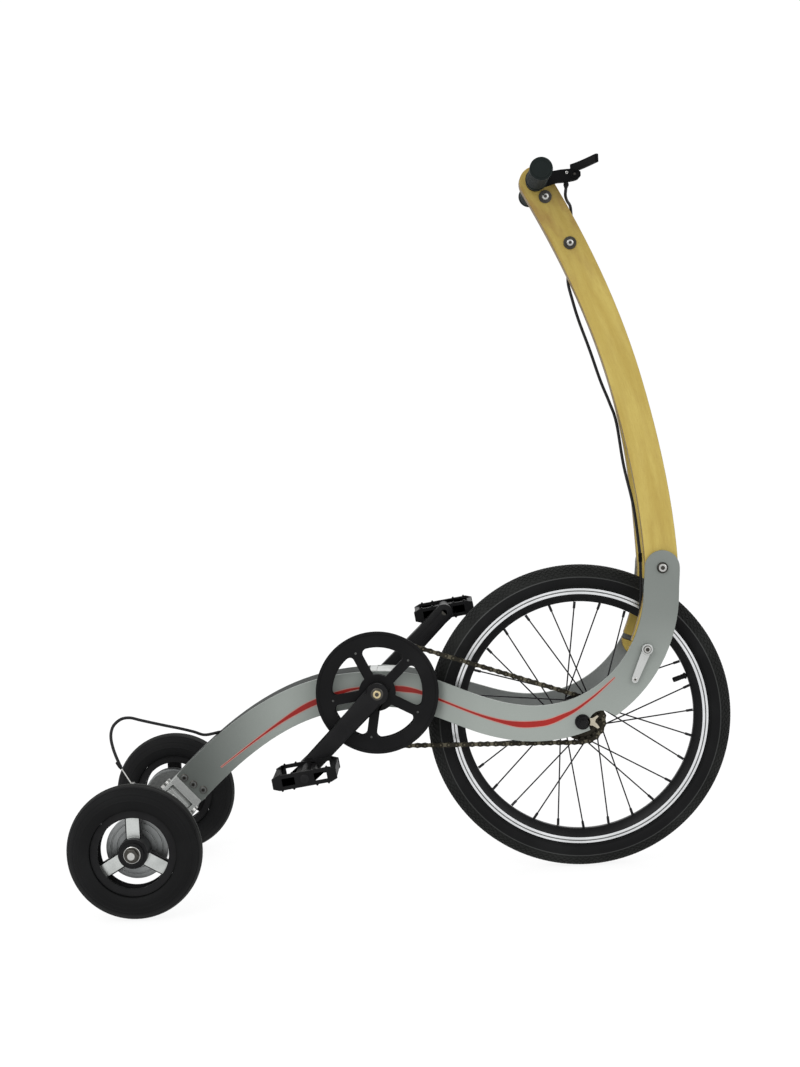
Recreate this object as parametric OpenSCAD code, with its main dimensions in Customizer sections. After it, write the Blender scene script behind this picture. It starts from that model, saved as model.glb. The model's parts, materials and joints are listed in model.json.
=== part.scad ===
// Stand-up tricycle: one driven wheel in front, a leaning two-wheeled truck behind,
// a plate frame that curves round the front wheel, and a folding wooden handlebar mast.
// Millimetres, +X forward, +Y to the rider's left, +Z up, origin on the floor
// under the middle of the wheels.

/* [Front wheel] */
// Diameter over the front tyre
front_tyre_d = 500; // [440:1:540]
// Width of the front tyre
front_tyre_w = 47; // [38:1:52]
// Height of the front tyre over the rim's edge
tyre_rise = 38; // [32:1:42]
// Width of the rim
rim_w = 30; // [24:1:34]
// Depth of the rim, edge to spoke bed
rim_depth = 23; // [16:1:28]
// Number of wire spokes
spoke_count = 28; // [20:4:36]
// Diameter of a spoke
spoke_d = 2.4; // [1.8:0.1:3]
// Distance between the hub flanges
hub_flange_gap = 54; // [44:1:60]
// Diameter of the hub flanges
hub_flange_d = 62; // [48:1:80]
// Diameter of the hub barrel
hub_barrel_d = 36; // [30:1:44]
// Diameter of the front axle
front_axle_d = 10; // [8:1:12]
// Length of axle that stands out past each nut
axle_stub = 9; // [5:1:15]

/* [Drive] */
// Chain pitch
chain_pitch = 12.7; // [12.5:0.1:12.9]
// Teeth on the chainring
ring_teeth = 44; // [40:2:46]
// Teeth on the hub sprocket
sprocket_teeth = 18; // [16:1:20]
// Width of the chain over its plates
chain_w = 7; // [6:0.5:8]
// Distance of the chain from the middle plane
chain_y = 52; // [51:0.5:54]
// Crank centre, distance behind the front hub
crank_back = 330; // [320:1:345]
// Crank centre, height over the floor
crank_h = 310; // [300:1:330]
// Crank length, centre to pedal
crank_len = 160; // [150:1:165]
// Angle of the right crank, counted up from straight ahead
crank_angle = 224; // [180:1:270]
// Outer diameter of the chain guard
guard_d = 200; // [192:1:206]
// Thickness of the chain guard
guard_t = 3; // [2:0.5:4]
// Number of guard arms
guard_arms = 5; // [4:1:6]
// Pedal length, front to back
pedal_len = 102; // [90:1:108]
// Pedal width, along its axle
pedal_w = 94; // [84:1:100]
// Pedal height
pedal_h = 28; // [22:1:32]
// Nose-up angle of the pedals at rest
pedal_tilt = 8; // [0:1:15]
// Diameter of the pedal axles
pedal_axle_d = 9; // [8:1:11]

/* [Frame] */
// Thickness of a side plate
plate_t = 6; // [4:0.5:8]
// Height of a side plate, edge to edge
plate_h = 60; // [52:1:66]
// Width over the plates beside the front wheel
fork_w = 144; // [138:1:148]
// Width over the plates at the cranks
beam_w = 80; // [76:1:82]
// Width over the plates at the tail
tail_w = 52; // [48:1:60]
// Mast pivot, distance ahead of the front hub
pivot_fwd = 138; // [130:1:145]
// Mast pivot, height over the front hub
pivot_up = 244; // [238:1:252]
// Angle of the tail against the floor
tail_angle = 42; // [38:1:46]
// Outer diameter of the crank bearing shell
shell_d = 40; // [38:1:42]
// Diameter of the crank spindle
spindle_d = 16; // [14:1:18]

/* [Truck] */
// Distance between the front and rear axles
wheelbase = 709; // [690:1:730]
// Distance between the middles of the rear tyres
rear_track = 462; // [440:1:490]
// Diameter over a rear tyre
rear_tyre_d = 211; // [200:1:220]
// Width of a rear tyre
rear_tyre_w = 50; // [44:1:54]
// Inner diameter of the rear rim's window ring
rear_window_d = 110; // [100:1:116]
// Number of spokes in a rear wheel
rear_spoke_count = 3; // [3:1:5]
// Width of a rear spoke
rear_spoke_w = 24; // [20:1:28]
// Diameter of a rear hub
rear_hub_d = 46; // [40:1:50]
// Diameter of a brake drum
drum_d = 97; // [90:1:100]
// Width of a brake drum
drum_w = 22; // [18:1:24]
// Diameter of the rear axle
rear_axle_d = 12; // [10:1:14]
// Distance from the rear axle up to the lean pin
trail = 53; // [50:1:58]
// Distance from the lean pin up to the frame's cut end
tail_drop = 28; // [26:1:32]
// Diameter of the lean pin
pin_d = 12; // [10:1:14]
// Diameter of the truck's cross tube
hanger_tube_d = 28; // [24:1:32]

/* [Mast] */
// Handlebar, distance behind the front hub
bar_back = 37; // [20:1:50]
// Handlebar, height over the front hub
bar_up = 874; // [850:1:900]
// Length of the handlebar
bar_len = 348; // [320:1:380]
// Diameter of the handlebar
bar_d = 22; // [20:1:24]
// Diameter of a grip
grip_d = 36; // [32:1:38]
// Distance from the middle plane to a grip's inner end
grip_in = 48; // [44:1:60]
// Thickness of a wooden leg
leg_t = 15; // [12:1:18]
// Width of a leg at the pivot
leg_w_low = 54; // [50:1:58]
// Width of a leg at the handlebar
leg_w_top = 52; // [48:1:56]
// Diameter of the pivot bolts
pivot_d = 10; // [8:1:12]
// Diameter of the brake cable
cable_d = 5; // [4:0.5:6]

/* [Hidden] */
$fn = 64;

// Running clearance of shafts, and clearance of fixed fits
run_gap = 0.05;
fit_gap = 0.05;
// Clearance between pieces that lie against each other
lay_gap = 0.3;
// Overshoot of a cut past the face that it leaves
over = 1;

front_r = front_tyre_d / 2;
rim_r = front_r - tyre_rise;
rear_r = rear_tyre_d / 2;
hub_x = (wheelbase + rear_r - front_r) / 2;
rear_x = hub_x - wheelbase;
fork_y = fork_w / 2;
fork_in = fork_y - plate_t;
beam_y = beam_w / 2;
rear_y = rear_track / 2;
crank_at = [hub_x - crank_back, crank_h];
hub_at = [hub_x, front_r];
pivot_at = [hub_x + pivot_fwd, front_r + pivot_up];
bar_at = [hub_x - bar_back, front_r + bar_up];
ring_r = chain_pitch / (2 * sin(180 / ring_teeth));
sprocket_r = chain_pitch / (2 * sin(180 / sprocket_teeth));

grey = [0.58, 0.61, 0.60];
dark_grey = [0.36, 0.38, 0.38];
honey = [0.78, 0.64, 0.30];
black = [0.06, 0.06, 0.07];
rubber = [0.09, 0.09, 0.10];
silver = [0.75, 0.76, 0.78];
bronze = [0.30, 0.25, 0.18];

// Curves

// Point and heading on a cubic curve
function cubic(p, t) =
    pow(1 - t, 3) * p[0] + 3 * t * pow(1 - t, 2) * p[1] + 3 * t * t * (1 - t) * p[2] + pow(t, 3) * p[3];
function slope(p, t) =
    let (d = pow(1 - t, 2) * (p[1] - p[0]) + 2 * t * (1 - t) * (p[2] - p[1]) + t * t * (p[3] - p[2]))
    d / norm(d);
// Curve from a to b with headings and handle lengths at both ends
function span(a, ha, la, b, hb, lb) = [a, a + la * [cos(ha), sin(ha)], b - lb * [cos(hb), sin(hb)], b];
function left_of(d) = [-d[1], d[0]];
function smooth(t) = let (c = min(1, max(0, t))) c * c * (3 - 2 * c);

// Points at a signed distance beside a chain of curves; the distance runs from w0 to w1
function beside(curves, w0, w1, steps) = [
    for (k = [0 : len(curves) - 1], i = [(k == 0 ? 0 : 1) : steps])
        let (
            t = i / steps,
            w = w0 + (w1 - w0) * (k + t) / len(curves)
        )
        cubic(curves[k], t) + w * left_of(slope(curves[k], t))
];
function reversed(p) = [for (i = [len(p) - 1 : -1 : 0]) p[i]];
// Half round from the left to the right of a heading
cap_steps = 16;
function half_round(at, d, r) = [
    for (i = [1 : cap_steps - 1])
        let (a = atan2(d[1], d[0]) + 90 - 180 * i / cap_steps) at + r * [cos(a), sin(a)]
];
// Outline of a strip along a chain of curves, its half width running from w0 to w1
module strip(curves, w0, w1, round_start) {
    last = len(curves) - 1;
    polygon(concat(
        beside(curves, w0, w1, curve_steps),
        half_round(curves[last][3], slope(curves[last], 1), w1),
        reversed(beside(curves, -w0, -w1, curve_steps)),
        round_start ? half_round(curves[0][0], -slope(curves[0], 0), w0) : []
    ));
}

// Outline round two circles, r0 at the origin and r1 at a distance along X
arc_steps = 10;
function arc(at, r, a0, a1) = [
    for (i = [0 : arc_steps]) let (a = a0 + (a1 - a0) * i / arc_steps) at + r * [cos(a), sin(a)]
];
function taper(r0, r1, d) =
    let (a = acos((r0 - r1) / d))
    concat(arc([0, 0], r0, a, 360 - a), arc([d, 0], r1, -a, a));

// Solid along Y from a flat shape drawn in X and Z
module along_y(y0, y1) {
    translate([0, y1, 0]) rotate([90, 0, 0]) linear_extrude(y1 - y0) children();
}
// Round bar along Y at a point in X and Z
module bar_y(at, r, y0, y1) {
    translate([at[0], y0, at[1]]) rotate([-90, 0, 0]) cylinder(r = r, h = y1 - y0);
}
// Round rod between two points
module rod(a, b, d) {
    v = b - a;
    translate(a)
        rotate([0, acos(v[2] / norm(v)), atan2(v[1], v[0])])
            cylinder(d = d, h = norm(v), $fn = 24);
}
module spin_y(at) {
    translate([at[0], 0, at[1]]) rotate([-90, 0, 0]) rotate_extrude($fn = 128) children();
}
module other_side() { mirror([0, 1, 0]) children(); }

// Frame plates

curve_steps = 24;
crown_up = 3;
sag_back = 70;
bend_lean = 3;
bend_drop = 38;
head_angle = 88;
tail_pull = 196;
// The plates leave the truck a little steeper than its base and are cut square to it
tail_lift = 3;
tail_trim = 2;
crown_pull_back = 92;
sag_pull = 92;
bend_pull = 114;
head_pull = 12;
rear_at = [rear_x, rear_r];
tail_dir = [cos(tail_angle), sin(tail_angle)];
tail_at = rear_at + (trail + tail_drop) * tail_dir;
tail_heading = tail_angle + tail_lift;
tail_start = tail_at - tail_trim * [cos(tail_heading), sin(tail_heading)];
// Waypoints of the plates' middle line and the handle lengths of its curves
crown_at = crank_at + [0, crown_up];
sag_at = hub_at - [sag_back, 0];
bend_top = pivot_at - [bend_lean, bend_drop];
plate_curves = [
    span(tail_start, tail_heading, tail_pull, crown_at, 0, crown_pull_back),
    span(crown_at, 0, sag_pull, sag_at, 0, sag_pull),
    span(sag_at, 0, bend_pull, bend_top, head_angle, bend_pull),
    span(bend_top, head_angle, head_pull, pivot_at, head_angle, head_pull)
];

plate_narrowing = 2;
module plate_outline() { strip(plate_curves, plate_h / 2, plate_h / 2 - plate_narrowing, false); }

// Half width over the plates at a place along X
flare_start = 70;
flare_end = 180;
flare_from = crank_at[0] + flare_start;
flare_to = crank_at[0] + flare_end;
function half_width(x) =
    x < crank_at[0]
        ? tail_w / 2 + (beam_y - tail_w / 2) * (x - tail_at[0]) / (crank_at[0] - tail_at[0])
        : beam_y + (fork_y - beam_y) * smooth((x - flare_from) / (flare_to - flare_from));
flare_steps = 16;
plate_xs = concat(
    [tail_at[0] - plate_h, crank_at[0]],
    [for (i = [0 : flare_steps]) flare_from + (flare_to - flare_from) * i / flare_steps],
    [pivot_at[0] + plate_h]
);

// Seen from above, the sheet of one plate on the +Y side
module plate_sheet() {
    polygon(concat(
        [for (x = plate_xs) [x, half_width(x)]],
        reversed([for (x = plate_xs) [x, half_width(x) - plate_t]])
    ));
}

// Dropout: slot for the axle and the open bite ahead of it
dropout_r = 21;
dropout_fwd = 31;
dropout_drop = 4;
dropout_lean = 30;
module dropout_cut() {
    slot_w = front_axle_d + 2 * fit_gap;
    translate(hub_at) {
        circle(d = slot_w);
        translate([0, -slot_w / 2]) square([dropout_fwd, slot_w]);
        translate([dropout_fwd, -dropout_drop]) {
            circle(r = dropout_r);
            rotate(-dropout_lean) translate([0, -dropout_r]) square([plate_h, 2 * dropout_r]);
        }
    }
}

// Quick-release bolt below the pivot
release_back = 30;
release_drop = 130;
release_at = pivot_at - [release_back, release_drop];
release_d = 8;

module plate() {
    difference() {
        intersection() {
            along_y(0, fork_y + over) plate_outline();
            linear_extrude(pivot_at[1] + plate_h) plate_sheet();
        }
        along_y(-over, fork_y + 2 * over) dropout_cut();
        bar_y(crank_at, shell_d / 2 + fit_gap, -over, fork_y);
        bar_y(pivot_at, pivot_d / 2 + fit_gap, 0, fork_y + over);
        bar_y(release_at, release_d / 2 + fit_gap, 0, fork_y + over);
        tail_frame() translate([0, -over, -plate_h]) cube([trail + tail_drop, fork_y, 2 * plate_h]);
    }
}
module plate_left() { color(grey) plate(); }
module plate_right() { color(grey) other_side() plate(); }

// Webs that close the beam above and below, from the tail to behind the tyre
web_t = 4;
web_from = 0.02;
function web_edge(w) = [
    for (i = [0 : curve_steps])
        let (t = web_from + (1 - web_from) * i / curve_steps)
        cubic(plate_curves[0], t) + w * left_of(slope(plate_curves[0], t))
];
module web_band(w) {
    along_y(-fork_y, fork_y) polygon(concat(web_edge(w), reversed(web_edge(w - web_t))));
}
// Slot in the upper web where the brake cable comes out
exit_t = 0.2;
exit_y = -13;
exit_back = 30;
exit_len = 26;
exit_w = 12;
module beam_webs() {
    color(dark_grey) difference() {
        beam_skins();
        translate(in_beam(exit_t, exit_y, 0)) translate([-exit_back, -exit_w / 2, 0])
            cube([exit_len, exit_w, 2 * plate_h]);
    }
}
// Bright bridge plate in front of the upper web, over the crank bearing
bridge_back = 12;
bridge_len = 45;
bridge_dip = 1.5;
module beam_skins() {
    ends = [tail_at[0] - plate_h, crank_at[0], crank_at[0] + bridge_len];
    intersection() {
        union() {
            web_band(plate_h / 2);
            web_band(-plate_h / 2 + web_t);
            bar_top = crown_at[1] + plate_h / 2 - bridge_dip;
            translate([crank_at[0] - bridge_back, -fork_y, bar_top - web_t])
                cube([bridge_len, 2 * fork_y, web_t]);
        }
        linear_extrude(pivot_at[1]) polygon(concat(
            [for (x = ends) [x, half_width(x) - plate_t]],
            [for (x = reversed(ends)) [x, plate_t - half_width(x)]]
        ));
    }
}

module bearing_shell() {
    color(silver) difference() {
        bar_y(crank_at, shell_d / 2, -beam_y, beam_y);
        bar_y(crank_at, spindle_d / 2 + run_gap, -beam_y - over, beam_y + over);
    }
}

// Front axle with its cones inside the plates and its nuts outside
cone_len = 6;
nut_h = 8;
nut_d = 20;
cone_wall = 4;
hub_end = fork_in - cone_len;
axle_end = fork_y + nut_h + axle_stub;
module front_axle() {
    color(black) {
        bar_y(hub_at, front_axle_d / 2, -axle_end, axle_end);
        for (s = [0, 1]) mirror([0, s, 0]) {
            bar_y(hub_at, front_axle_d / 2 + cone_wall, hub_end + lay_gap, fork_in);
            translate([hub_at[0], fork_y, hub_at[1]]) rotate([-90, 0, 0])
                cylinder(d = nut_d, h = nut_h, $fn = 6);
        }
    }
}

// Bolts that the mast turns on, one in each plate
bolt_head_d = 18;
bolt_head_h = 5;
module pivot_bolts() {
    color(silver) for (s = [0, 1]) mirror([0, s, 0]) {
        bar_y(pivot_at, pivot_d / 2, fork_in - lay_gap - leg_t, fork_y);
        bar_y(pivot_at, bolt_head_d / 2, fork_y, fork_y + bolt_head_h);
    }
}

// Quick releases that hold the legs' lower ends: bolt, cam and tapered lever
release_len = 66;
release_w = 15;
release_boss_d = 18;
release_tip_w = 11;
release_t = 5;
release_lift = 2;
release_turn = 114;
module quick_releases() {
    out = fork_y + release_lift;
    reach = release_len - release_w / 2 - release_tip_w / 2;
    color(silver) for (s = [0, 1]) mirror([0, s, 0]) {
        bar_y(release_at, release_d / 2, fork_in - lay_gap - leg_t, fork_y);
        bar_y(release_at, release_boss_d / 2, fork_y, out + release_t + release_lift);
        translate([release_at[0], 0, release_at[1]]) rotate([0, release_turn, 0]) {
            along_y(out, out + release_t) polygon(taper(release_w / 2, release_tip_w / 2, reach));
            bar_y([reach, 0], release_tip_w / 2 - release_lift, fork_y, out);
        }
    }
}

// Truck, drawn in a frame whose X runs up along the frame's tail from the rear axle
module tail_frame() {
    translate([rear_x, 0, rear_r]) rotate([0, -tail_angle, 0]) children();
}

ear_gap = 46;
ear_t = 6;
ear_r = 14;
ear_foot = 20;
ear_turn = 100;
base_t = 15;
base_h = ear_gap + 2 * ear_t;
cheek_t = 5;
cheek_len = 48;
cheek_h = 44;
cheek_y = tail_w / 2 - plate_t - lay_gap - cheek_t;
// Channel that closes the frame's tail, with the two ears of the lean pin
module truck_base() {
    foot = tail_drop - base_t;
    color(silver) tail_frame() difference() {
        union() {
            translate([trail + foot, -tail_w / 2, -base_h / 2]) cube([base_t - lay_gap, tail_w, base_h]);
            for (s = [0, 1]) mirror([0, s, 0])
                translate([trail + foot, cheek_y, -cheek_h / 2]) cube([cheek_len, cheek_t, cheek_h]);
            for (s = [0, 1]) mirror([0, 0, s]) translate([trail, 0, ear_gap / 2]) linear_extrude(ear_t)
                polygon(concat(
                    arc([0, 0], ear_r, ear_turn, 360 - ear_turn),
                    [[foot + over, -ear_foot], [foot + over, ear_foot]]
                ));
        }
        translate([trail, 0, -base_h]) cylinder(d = pin_d + 2 * fit_gap, h = 2 * base_h);
    }
}
pin_out = 4;
pin_head_h = 5;
pin_head_w = 4;
module lean_pin() {
    color(dark_grey) tail_frame() translate([trail, 0, 0]) {
        translate([0, 0, -base_h / 2 - pin_out]) cylinder(d = pin_d, h = base_h + 2 * pin_out);
        for (s = [0, 1]) mirror([0, 0, s])
            translate([0, 0, base_h / 2]) cylinder(d = pin_d + 2 * pin_head_w, h = pin_head_h);
    }
}

ear_play = 1;
barrel_h = ear_gap - 2 * ear_play;
barrel_gap = 1.5;
barrel_r = tail_drop - base_t - barrel_gap;
drum_in = rear_y - rear_tyre_w / 2 - drum_w;
plate_gap = 2;
back_t = 5;
tube_end = drum_in - plate_gap - back_t;
gusset_t = 20;
gusset_half = 44;
// Cross tube of the axle with the barrel that turns on the lean pin and the gusset between them
module truck_hanger() {
    color(silver) tail_frame() difference() {
        union() {
            rotate([-90, 0, 0]) translate([0, 0, -tube_end]) cylinder(d = hanger_tube_d, h = 2 * tube_end);
            translate([trail, 0, -barrel_h / 2]) cylinder(r = barrel_r, h = barrel_h);
            translate([0, 0, -gusset_t / 2]) linear_extrude(gusset_t) polygon([
                [0, -gusset_half], [trail, -barrel_r + over], [trail, barrel_r - over], [0, gusset_half]
            ]);
        }
        translate([trail, 0, -base_h]) cylinder(d = pin_d + 2 * run_gap, h = 2 * base_h);
        rotate([-90, 0, 0]) translate([0, 0, -rear_y])
            cylinder(d = rear_axle_d + 2 * fit_gap, h = 2 * rear_y);
    }
}

rear_nut_h = 8;
rear_nut_d = 22;
rear_stub = 3;
rear_hub_out = rear_tyre_w / 2;
rear_nut_y = rear_y + rear_hub_out + lay_gap;
rear_end = rear_nut_y + rear_nut_h + rear_stub;
module rear_axle() {
    color(silver) {
        bar_y(rear_at, rear_axle_d / 2, -rear_end, rear_end);
        for (s = [0, 1]) mirror([0, s, 0]) translate([rear_at[0], rear_nut_y, rear_at[1]])
            rotate([-90, 0, 0]) cylinder(d = rear_nut_d, h = rear_nut_h, $fn = 6);
    }
}

// Back plates of the drums; the cable pulls the arm of the right one
brake_arm_len = 98;
brake_arm_r = 5;
brake_arm_root = 9;
brake_arm_turn = 94;
back_inset = 3;
module brake_plates() {
    color(dark_grey) for (s = [0, 1]) mirror([0, s, 0]) difference() {
        along_y(tube_end + lay_gap, tube_end + back_t) translate(rear_at) {
            circle(r = drum_d / 2 - back_inset);
            if (s == 1) rotate(brake_arm_turn)
                polygon(taper(brake_arm_root, brake_arm_r, brake_arm_len - brake_arm_r));
        }
        bar_y(rear_at, rear_axle_d / 2 + fit_gap, 0, rear_y);
    }
}

// Rear wheels
rear_wall = 12;
rear_rim_w = 32;
rear_rim_r = rear_window_d / 2 + rear_wall;
rear_well = 4;
rear_spoke_t = 12;
rear_spoke_edge = 2;
rear_hub_step = 5;
module rear_tyre() {
    color(rubber) translate([0, rear_y, 0]) spin_y(rear_at) difference() {
        translate([rear_r - rear_tyre_w / 2, 0]) circle(d = rear_tyre_w);
        translate([0, -rear_tyre_w]) square([rear_rim_r + lay_gap, 2 * rear_tyre_w]);
    }
}
// Section of a spoke, with its outer edges chamfered
module rear_spoke_section() {
    w = rear_spoke_w / 2;
    t = rear_spoke_t / 2;
    polygon([
        [-t, -w], [t - rear_spoke_edge, -w], [t, rear_spoke_edge - w],
        [t, w - rear_spoke_edge], [t - rear_spoke_edge, w], [-t, w]
    ]);
}
// Rim with lips, hub with stepped ends, and spokes with chamfered edges
module rear_wheel() {
    lip = rear_window_d / 2;
    half = rear_rim_w / 2;
    color(black) translate([0, rear_y, 0]) difference() {
        union() {
            spin_y(rear_at) {
                polygon([
                    [lip, -half], [rear_rim_r, -half], [rear_rim_r, half],
                    [lip, half], [lip, half - rear_well],
                    [lip + rear_well, half - 2 * rear_well], [lip + rear_well, 2 * rear_well - half],
                    [lip, rear_well - half]
                ]);
                translate([0, -rear_hub_out]) square([rear_hub_d / 2 - rear_hub_step, 2 * rear_hub_out]);
                translate([0, rear_hub_step - rear_hub_out])
                    square([rear_hub_d / 2, 2 * (rear_hub_out - rear_hub_step)]);
            }
            for (i = [0 : rear_spoke_count - 1])
                translate([rear_at[0], 0, rear_at[1]]) rotate([0, -90 - 360 * i / rear_spoke_count, 0])
                    rotate([90, 0, 90]) linear_extrude(lip + rear_wall / 2) rear_spoke_section();
        }
        bar_y(rear_at, rear_axle_d / 2 + run_gap, -rear_y, rear_y);
    }
}
// Brake drum: an open pot with ring grooves in its face
drum_wall = 6;
drum_bore_gap = 2;
groove_w = 2;
groove_depth = 1.5;
groove_rs = [drum_d / 2 - 8, drum_d / 2 - 18];
module rear_drum() {
    bore_r = rear_axle_d / 2 + drum_bore_gap;
    face = drum_in + drum_w - lay_gap;
    color(silver) spin_y(rear_at) difference() {
        translate([bore_r, drum_in]) square([drum_d / 2 - bore_r, drum_w - lay_gap]);
        translate([bore_r + drum_wall, drum_in - over])
            square([drum_d / 2 - bore_r - 2 * drum_wall, drum_w - drum_wall]);
        for (r = groove_rs) translate([r - groove_w / 2, face - groove_depth])
            square([groove_w, groove_depth + over]);
    }
}
module rear_tyre_left() { rear_tyre(); }
module rear_tyre_right() { other_side() rear_tyre(); }
module rear_wheel_left() { rear_wheel(); }
module rear_wheel_right() { other_side() rear_wheel(); }
module rear_drum_left() { rear_drum(); }
module rear_drum_right() { other_side() rear_drum(); }

// Front wheel
bed_r = rim_r - rim_depth;
bed_half = 5;
lip_t = 3;
bead_drop = 6;
track_h = 10;
seat_r = rim_r - bead_drop;
bead_y = rim_w / 2 - lip_t - lay_gap;
module front_tyre() {
    ball = front_tyre_w / 2;
    color(rubber) spin_y(hub_at) difference() {
        translate([front_r - ball, 0]) circle(r = ball);
        translate([0, -front_tyre_w]) square([seat_r + lay_gap, 2 * front_tyre_w]);
        for (s = [0, 1]) mirror([0, s]) translate([0, bead_y]) square([rim_r + lay_gap, front_tyre_w]);
    }
}
// Rim: brake tracks, the seat of the tyre's beads between two lips, and the spoke bed
module front_rim() {
    half = [
        [bed_r, bed_half], [rim_r - track_h, rim_w / 2], [rim_r, rim_w / 2], [rim_r, rim_w / 2 - lip_t],
        [seat_r, rim_w / 2 - lip_t]
    ];
    color(black) spin_y(hub_at) polygon(concat(half, [for (p = reversed(half)) [p[0], -p[1]]]));
}
flange_t = 3;
// Spokes lie beside the flanges; an outer one leans in past the flange's edge
spoke_inside = flange_t / 2 + spoke_d / 2 + lay_gap;
spoke_outside = spoke_inside + 1;
spoke_hook = 2;
nipple_y = 2.5;
nipple_d = 4.4;
nipple_len = 11;
nipple_gap = 0.6;
lace_turn = 62;
module front_spokes() {
    color(dark_grey) translate([hub_at[0], 0, hub_at[1]]) for (i = [0 : spoke_count - 1]) {
        side = i % 2 == 0 ? 1 : -1;
        lead = floor(i / 2) % 2 == 0 ? 1 : -1;
        a = 360 * i / spoke_count;
        h = a - lead * lace_turn;
        r0 = hub_flange_d / 2 - spoke_hook;
        r1 = bed_r - nipple_gap;
        y0 = side * (hub_flange_gap / 2 + (side == lead ? spoke_outside : -spoke_inside));
        from = [r0 * cos(h), y0, r0 * sin(h)];
        to = [r1 * cos(a), side * nipple_y, r1 * sin(a)];
        rod(from, to, spoke_d);
        rod(to - nipple_len * (to - from) / norm(to - from), to, nipple_d);
    }
}
hub_tube_r = 13;
carrier_r = 17;
carrier_out = 4;
hub_cone = 8;
module front_hub() {
    inner = hub_flange_gap / 2 - flange_t / 2;
    color(black) spin_y(hub_at) difference() {
        union() {
            translate([0, -hub_end]) square([hub_tube_r, 2 * hub_end]);
            translate([0, -chain_y - carrier_out]) square([carrier_r, chain_y]);
            for (s = [0, 1]) mirror([0, s]) {
                polygon([
                    [0, 0], [hub_barrel_d / 2, 0], [hub_barrel_d / 2, inner - hub_cone],
                    [hub_barrel_d / 2 + hub_cone, inner], [0, inner]
                ]);
                translate([0, inner]) square([hub_flange_d / 2, flange_t]);
            }
        }
        translate([-over, -fork_y]) square([over + front_axle_d / 2 + run_gap, 2 * fork_y]);
    }
}
// Toothed disc whose tips stop short of the chain's inner edge
tooth_t = 2;
tooth_h = 3.6;
tooth_root = 0.3;
tooth_tip = 0.14;
chain_rise = 4.2;
module toothed(teeth, pitch_r) {
    tip = pitch_r - chain_rise - lay_gap;
    step = 360 / teeth;
    flank = [[-tooth_root, -tooth_h], [-tooth_tip, 0], [tooth_tip, 0], [tooth_root, -tooth_h]];
    polygon([
        for (i = [0 : teeth - 1], e = flank)
            let (a = (i + e[0]) * step) (tip + e[1]) * [cos(a), sin(a)]
    ]);
}
module front_sprocket() {
    color(bronze) along_y(-chain_y - tooth_t / 2, -chain_y + tooth_t / 2) translate(hub_at) difference() {
        toothed(sprocket_teeth, sprocket_r);
        circle(r = carrier_r + fit_gap);
    }
}
valve_angle = 18;
valve_d = 6;
valve_len = 24;
cap_d = 8;
cap_len = 15;
module front_valve() {
    color(black) translate([hub_at[0], 0, hub_at[1]]) rotate([0, -valve_angle, 0])
        translate([bed_r - valve_len, 0, 0]) rotate([0, 90, 0]) {
            cylinder(d = valve_d, h = valve_len - lay_gap);
            cylinder(d = cap_d, h = cap_len);
        }
}

// Chain: a loop round the chainring and the sprocket with the links in its outline
link_waist = 2.8;
link_inset = 0.4;
link_t = 1.2;
link_steps = 5;
loop_v = hub_at - crank_at;
loop_d = norm(loop_v);
loop_a = atan2(loop_v[1], loop_v[0]);
wrap = asin((ring_r - sprocket_r) / loop_d);
run_len = loop_d * cos(wrap);
arc_s = sprocket_r * (180 - 2 * wrap) * PI / 180;
arc_r = ring_r * (180 + 2 * wrap) * PI / 180;
loop_len = 2 * run_len + arc_s + arc_r;
links = 2 * round(loop_len / chain_pitch / 2);
// Point and outward normal angle at a distance along the loop
function loop_at(s) =
    s < run_len ? let (n = loop_a + 90 - wrap)
        [crank_at + ring_r * [cos(n), sin(n)] + s * [sin(n), -cos(n)], n]
    : s < run_len + arc_s ? let (n = loop_a + 90 - wrap - (s - run_len) / sprocket_r * 180 / PI)
        [hub_at + sprocket_r * [cos(n), sin(n)], n]
    : s < 2 * run_len + arc_s ? let (n = loop_a - 90 + wrap)
        [hub_at + sprocket_r * [cos(n), sin(n)] + (s - run_len - arc_s) * [sin(n), -cos(n)], n]
    : let (n = loop_a - 90 + wrap - (s - 2 * run_len - arc_s) / ring_r * 180 / PI)
        [crank_at + ring_r * [cos(n), sin(n)], n];
function joint_at(i) = loop_at((i % links) * loop_len / links)[0];
// Edge of the inner links: wide at the joints, waisted between them
function loop_edge(side) = [
    for (i = [0 : 2 * links - 1])
        let (
            q = loop_at(i * loop_len / (2 * links)),
            w = side * (i % 2 == 0 ? chain_rise - link_inset : link_waist)
        )
        q[0] + w * [cos(q[1]), sin(q[1])]
];
// Outline of one outer link between two joints
function link_end(at, a0) = [
    for (i = [0 : link_steps]) let (a = a0 + 180 * i / link_steps) at + chain_rise * [cos(a), sin(a)]
];
function link_outline(a, b) =
    let (
        t = atan2(b[1] - a[1], b[0] - a[0]),
        n = (link_waist + link_inset) * [-sin(t), cos(t)],
        mid = (a + b) / 2
    )
    concat(link_end(a, t + 90), [mid - n], link_end(b, t - 90), [mid + n]);
module chain() {
    color(bronze) {
        along_y(-chain_y - chain_w / 2 + link_t, -chain_y + chain_w / 2 - link_t) difference() {
            polygon(loop_edge(1));
            polygon(loop_edge(-1));
        }
        for (i = [0 : 2 : links - 2]) along_y(-chain_y - chain_w / 2, -chain_y + chain_w / 2)
            polygon(link_outline(joint_at(i), joint_at(i + 1)));
    }
}

// Cranks
guard_gap = 2.5;
arm_gap = 2;
arm_side = 8;
guard_y = chain_y + chain_w / 2 + guard_gap;
arm_root = guard_y + guard_t + arm_gap;
arm_tip = fork_y + arm_side;
arm_t = 14;
arm_tip_t = 12;
arm_floor = 2;
spindle_end = arm_root + arm_t - arm_floor;
module crank_spindle() {
    color(dark_grey) bar_y(crank_at, spindle_d / 2, -spindle_end, spindle_end);
}
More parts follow.
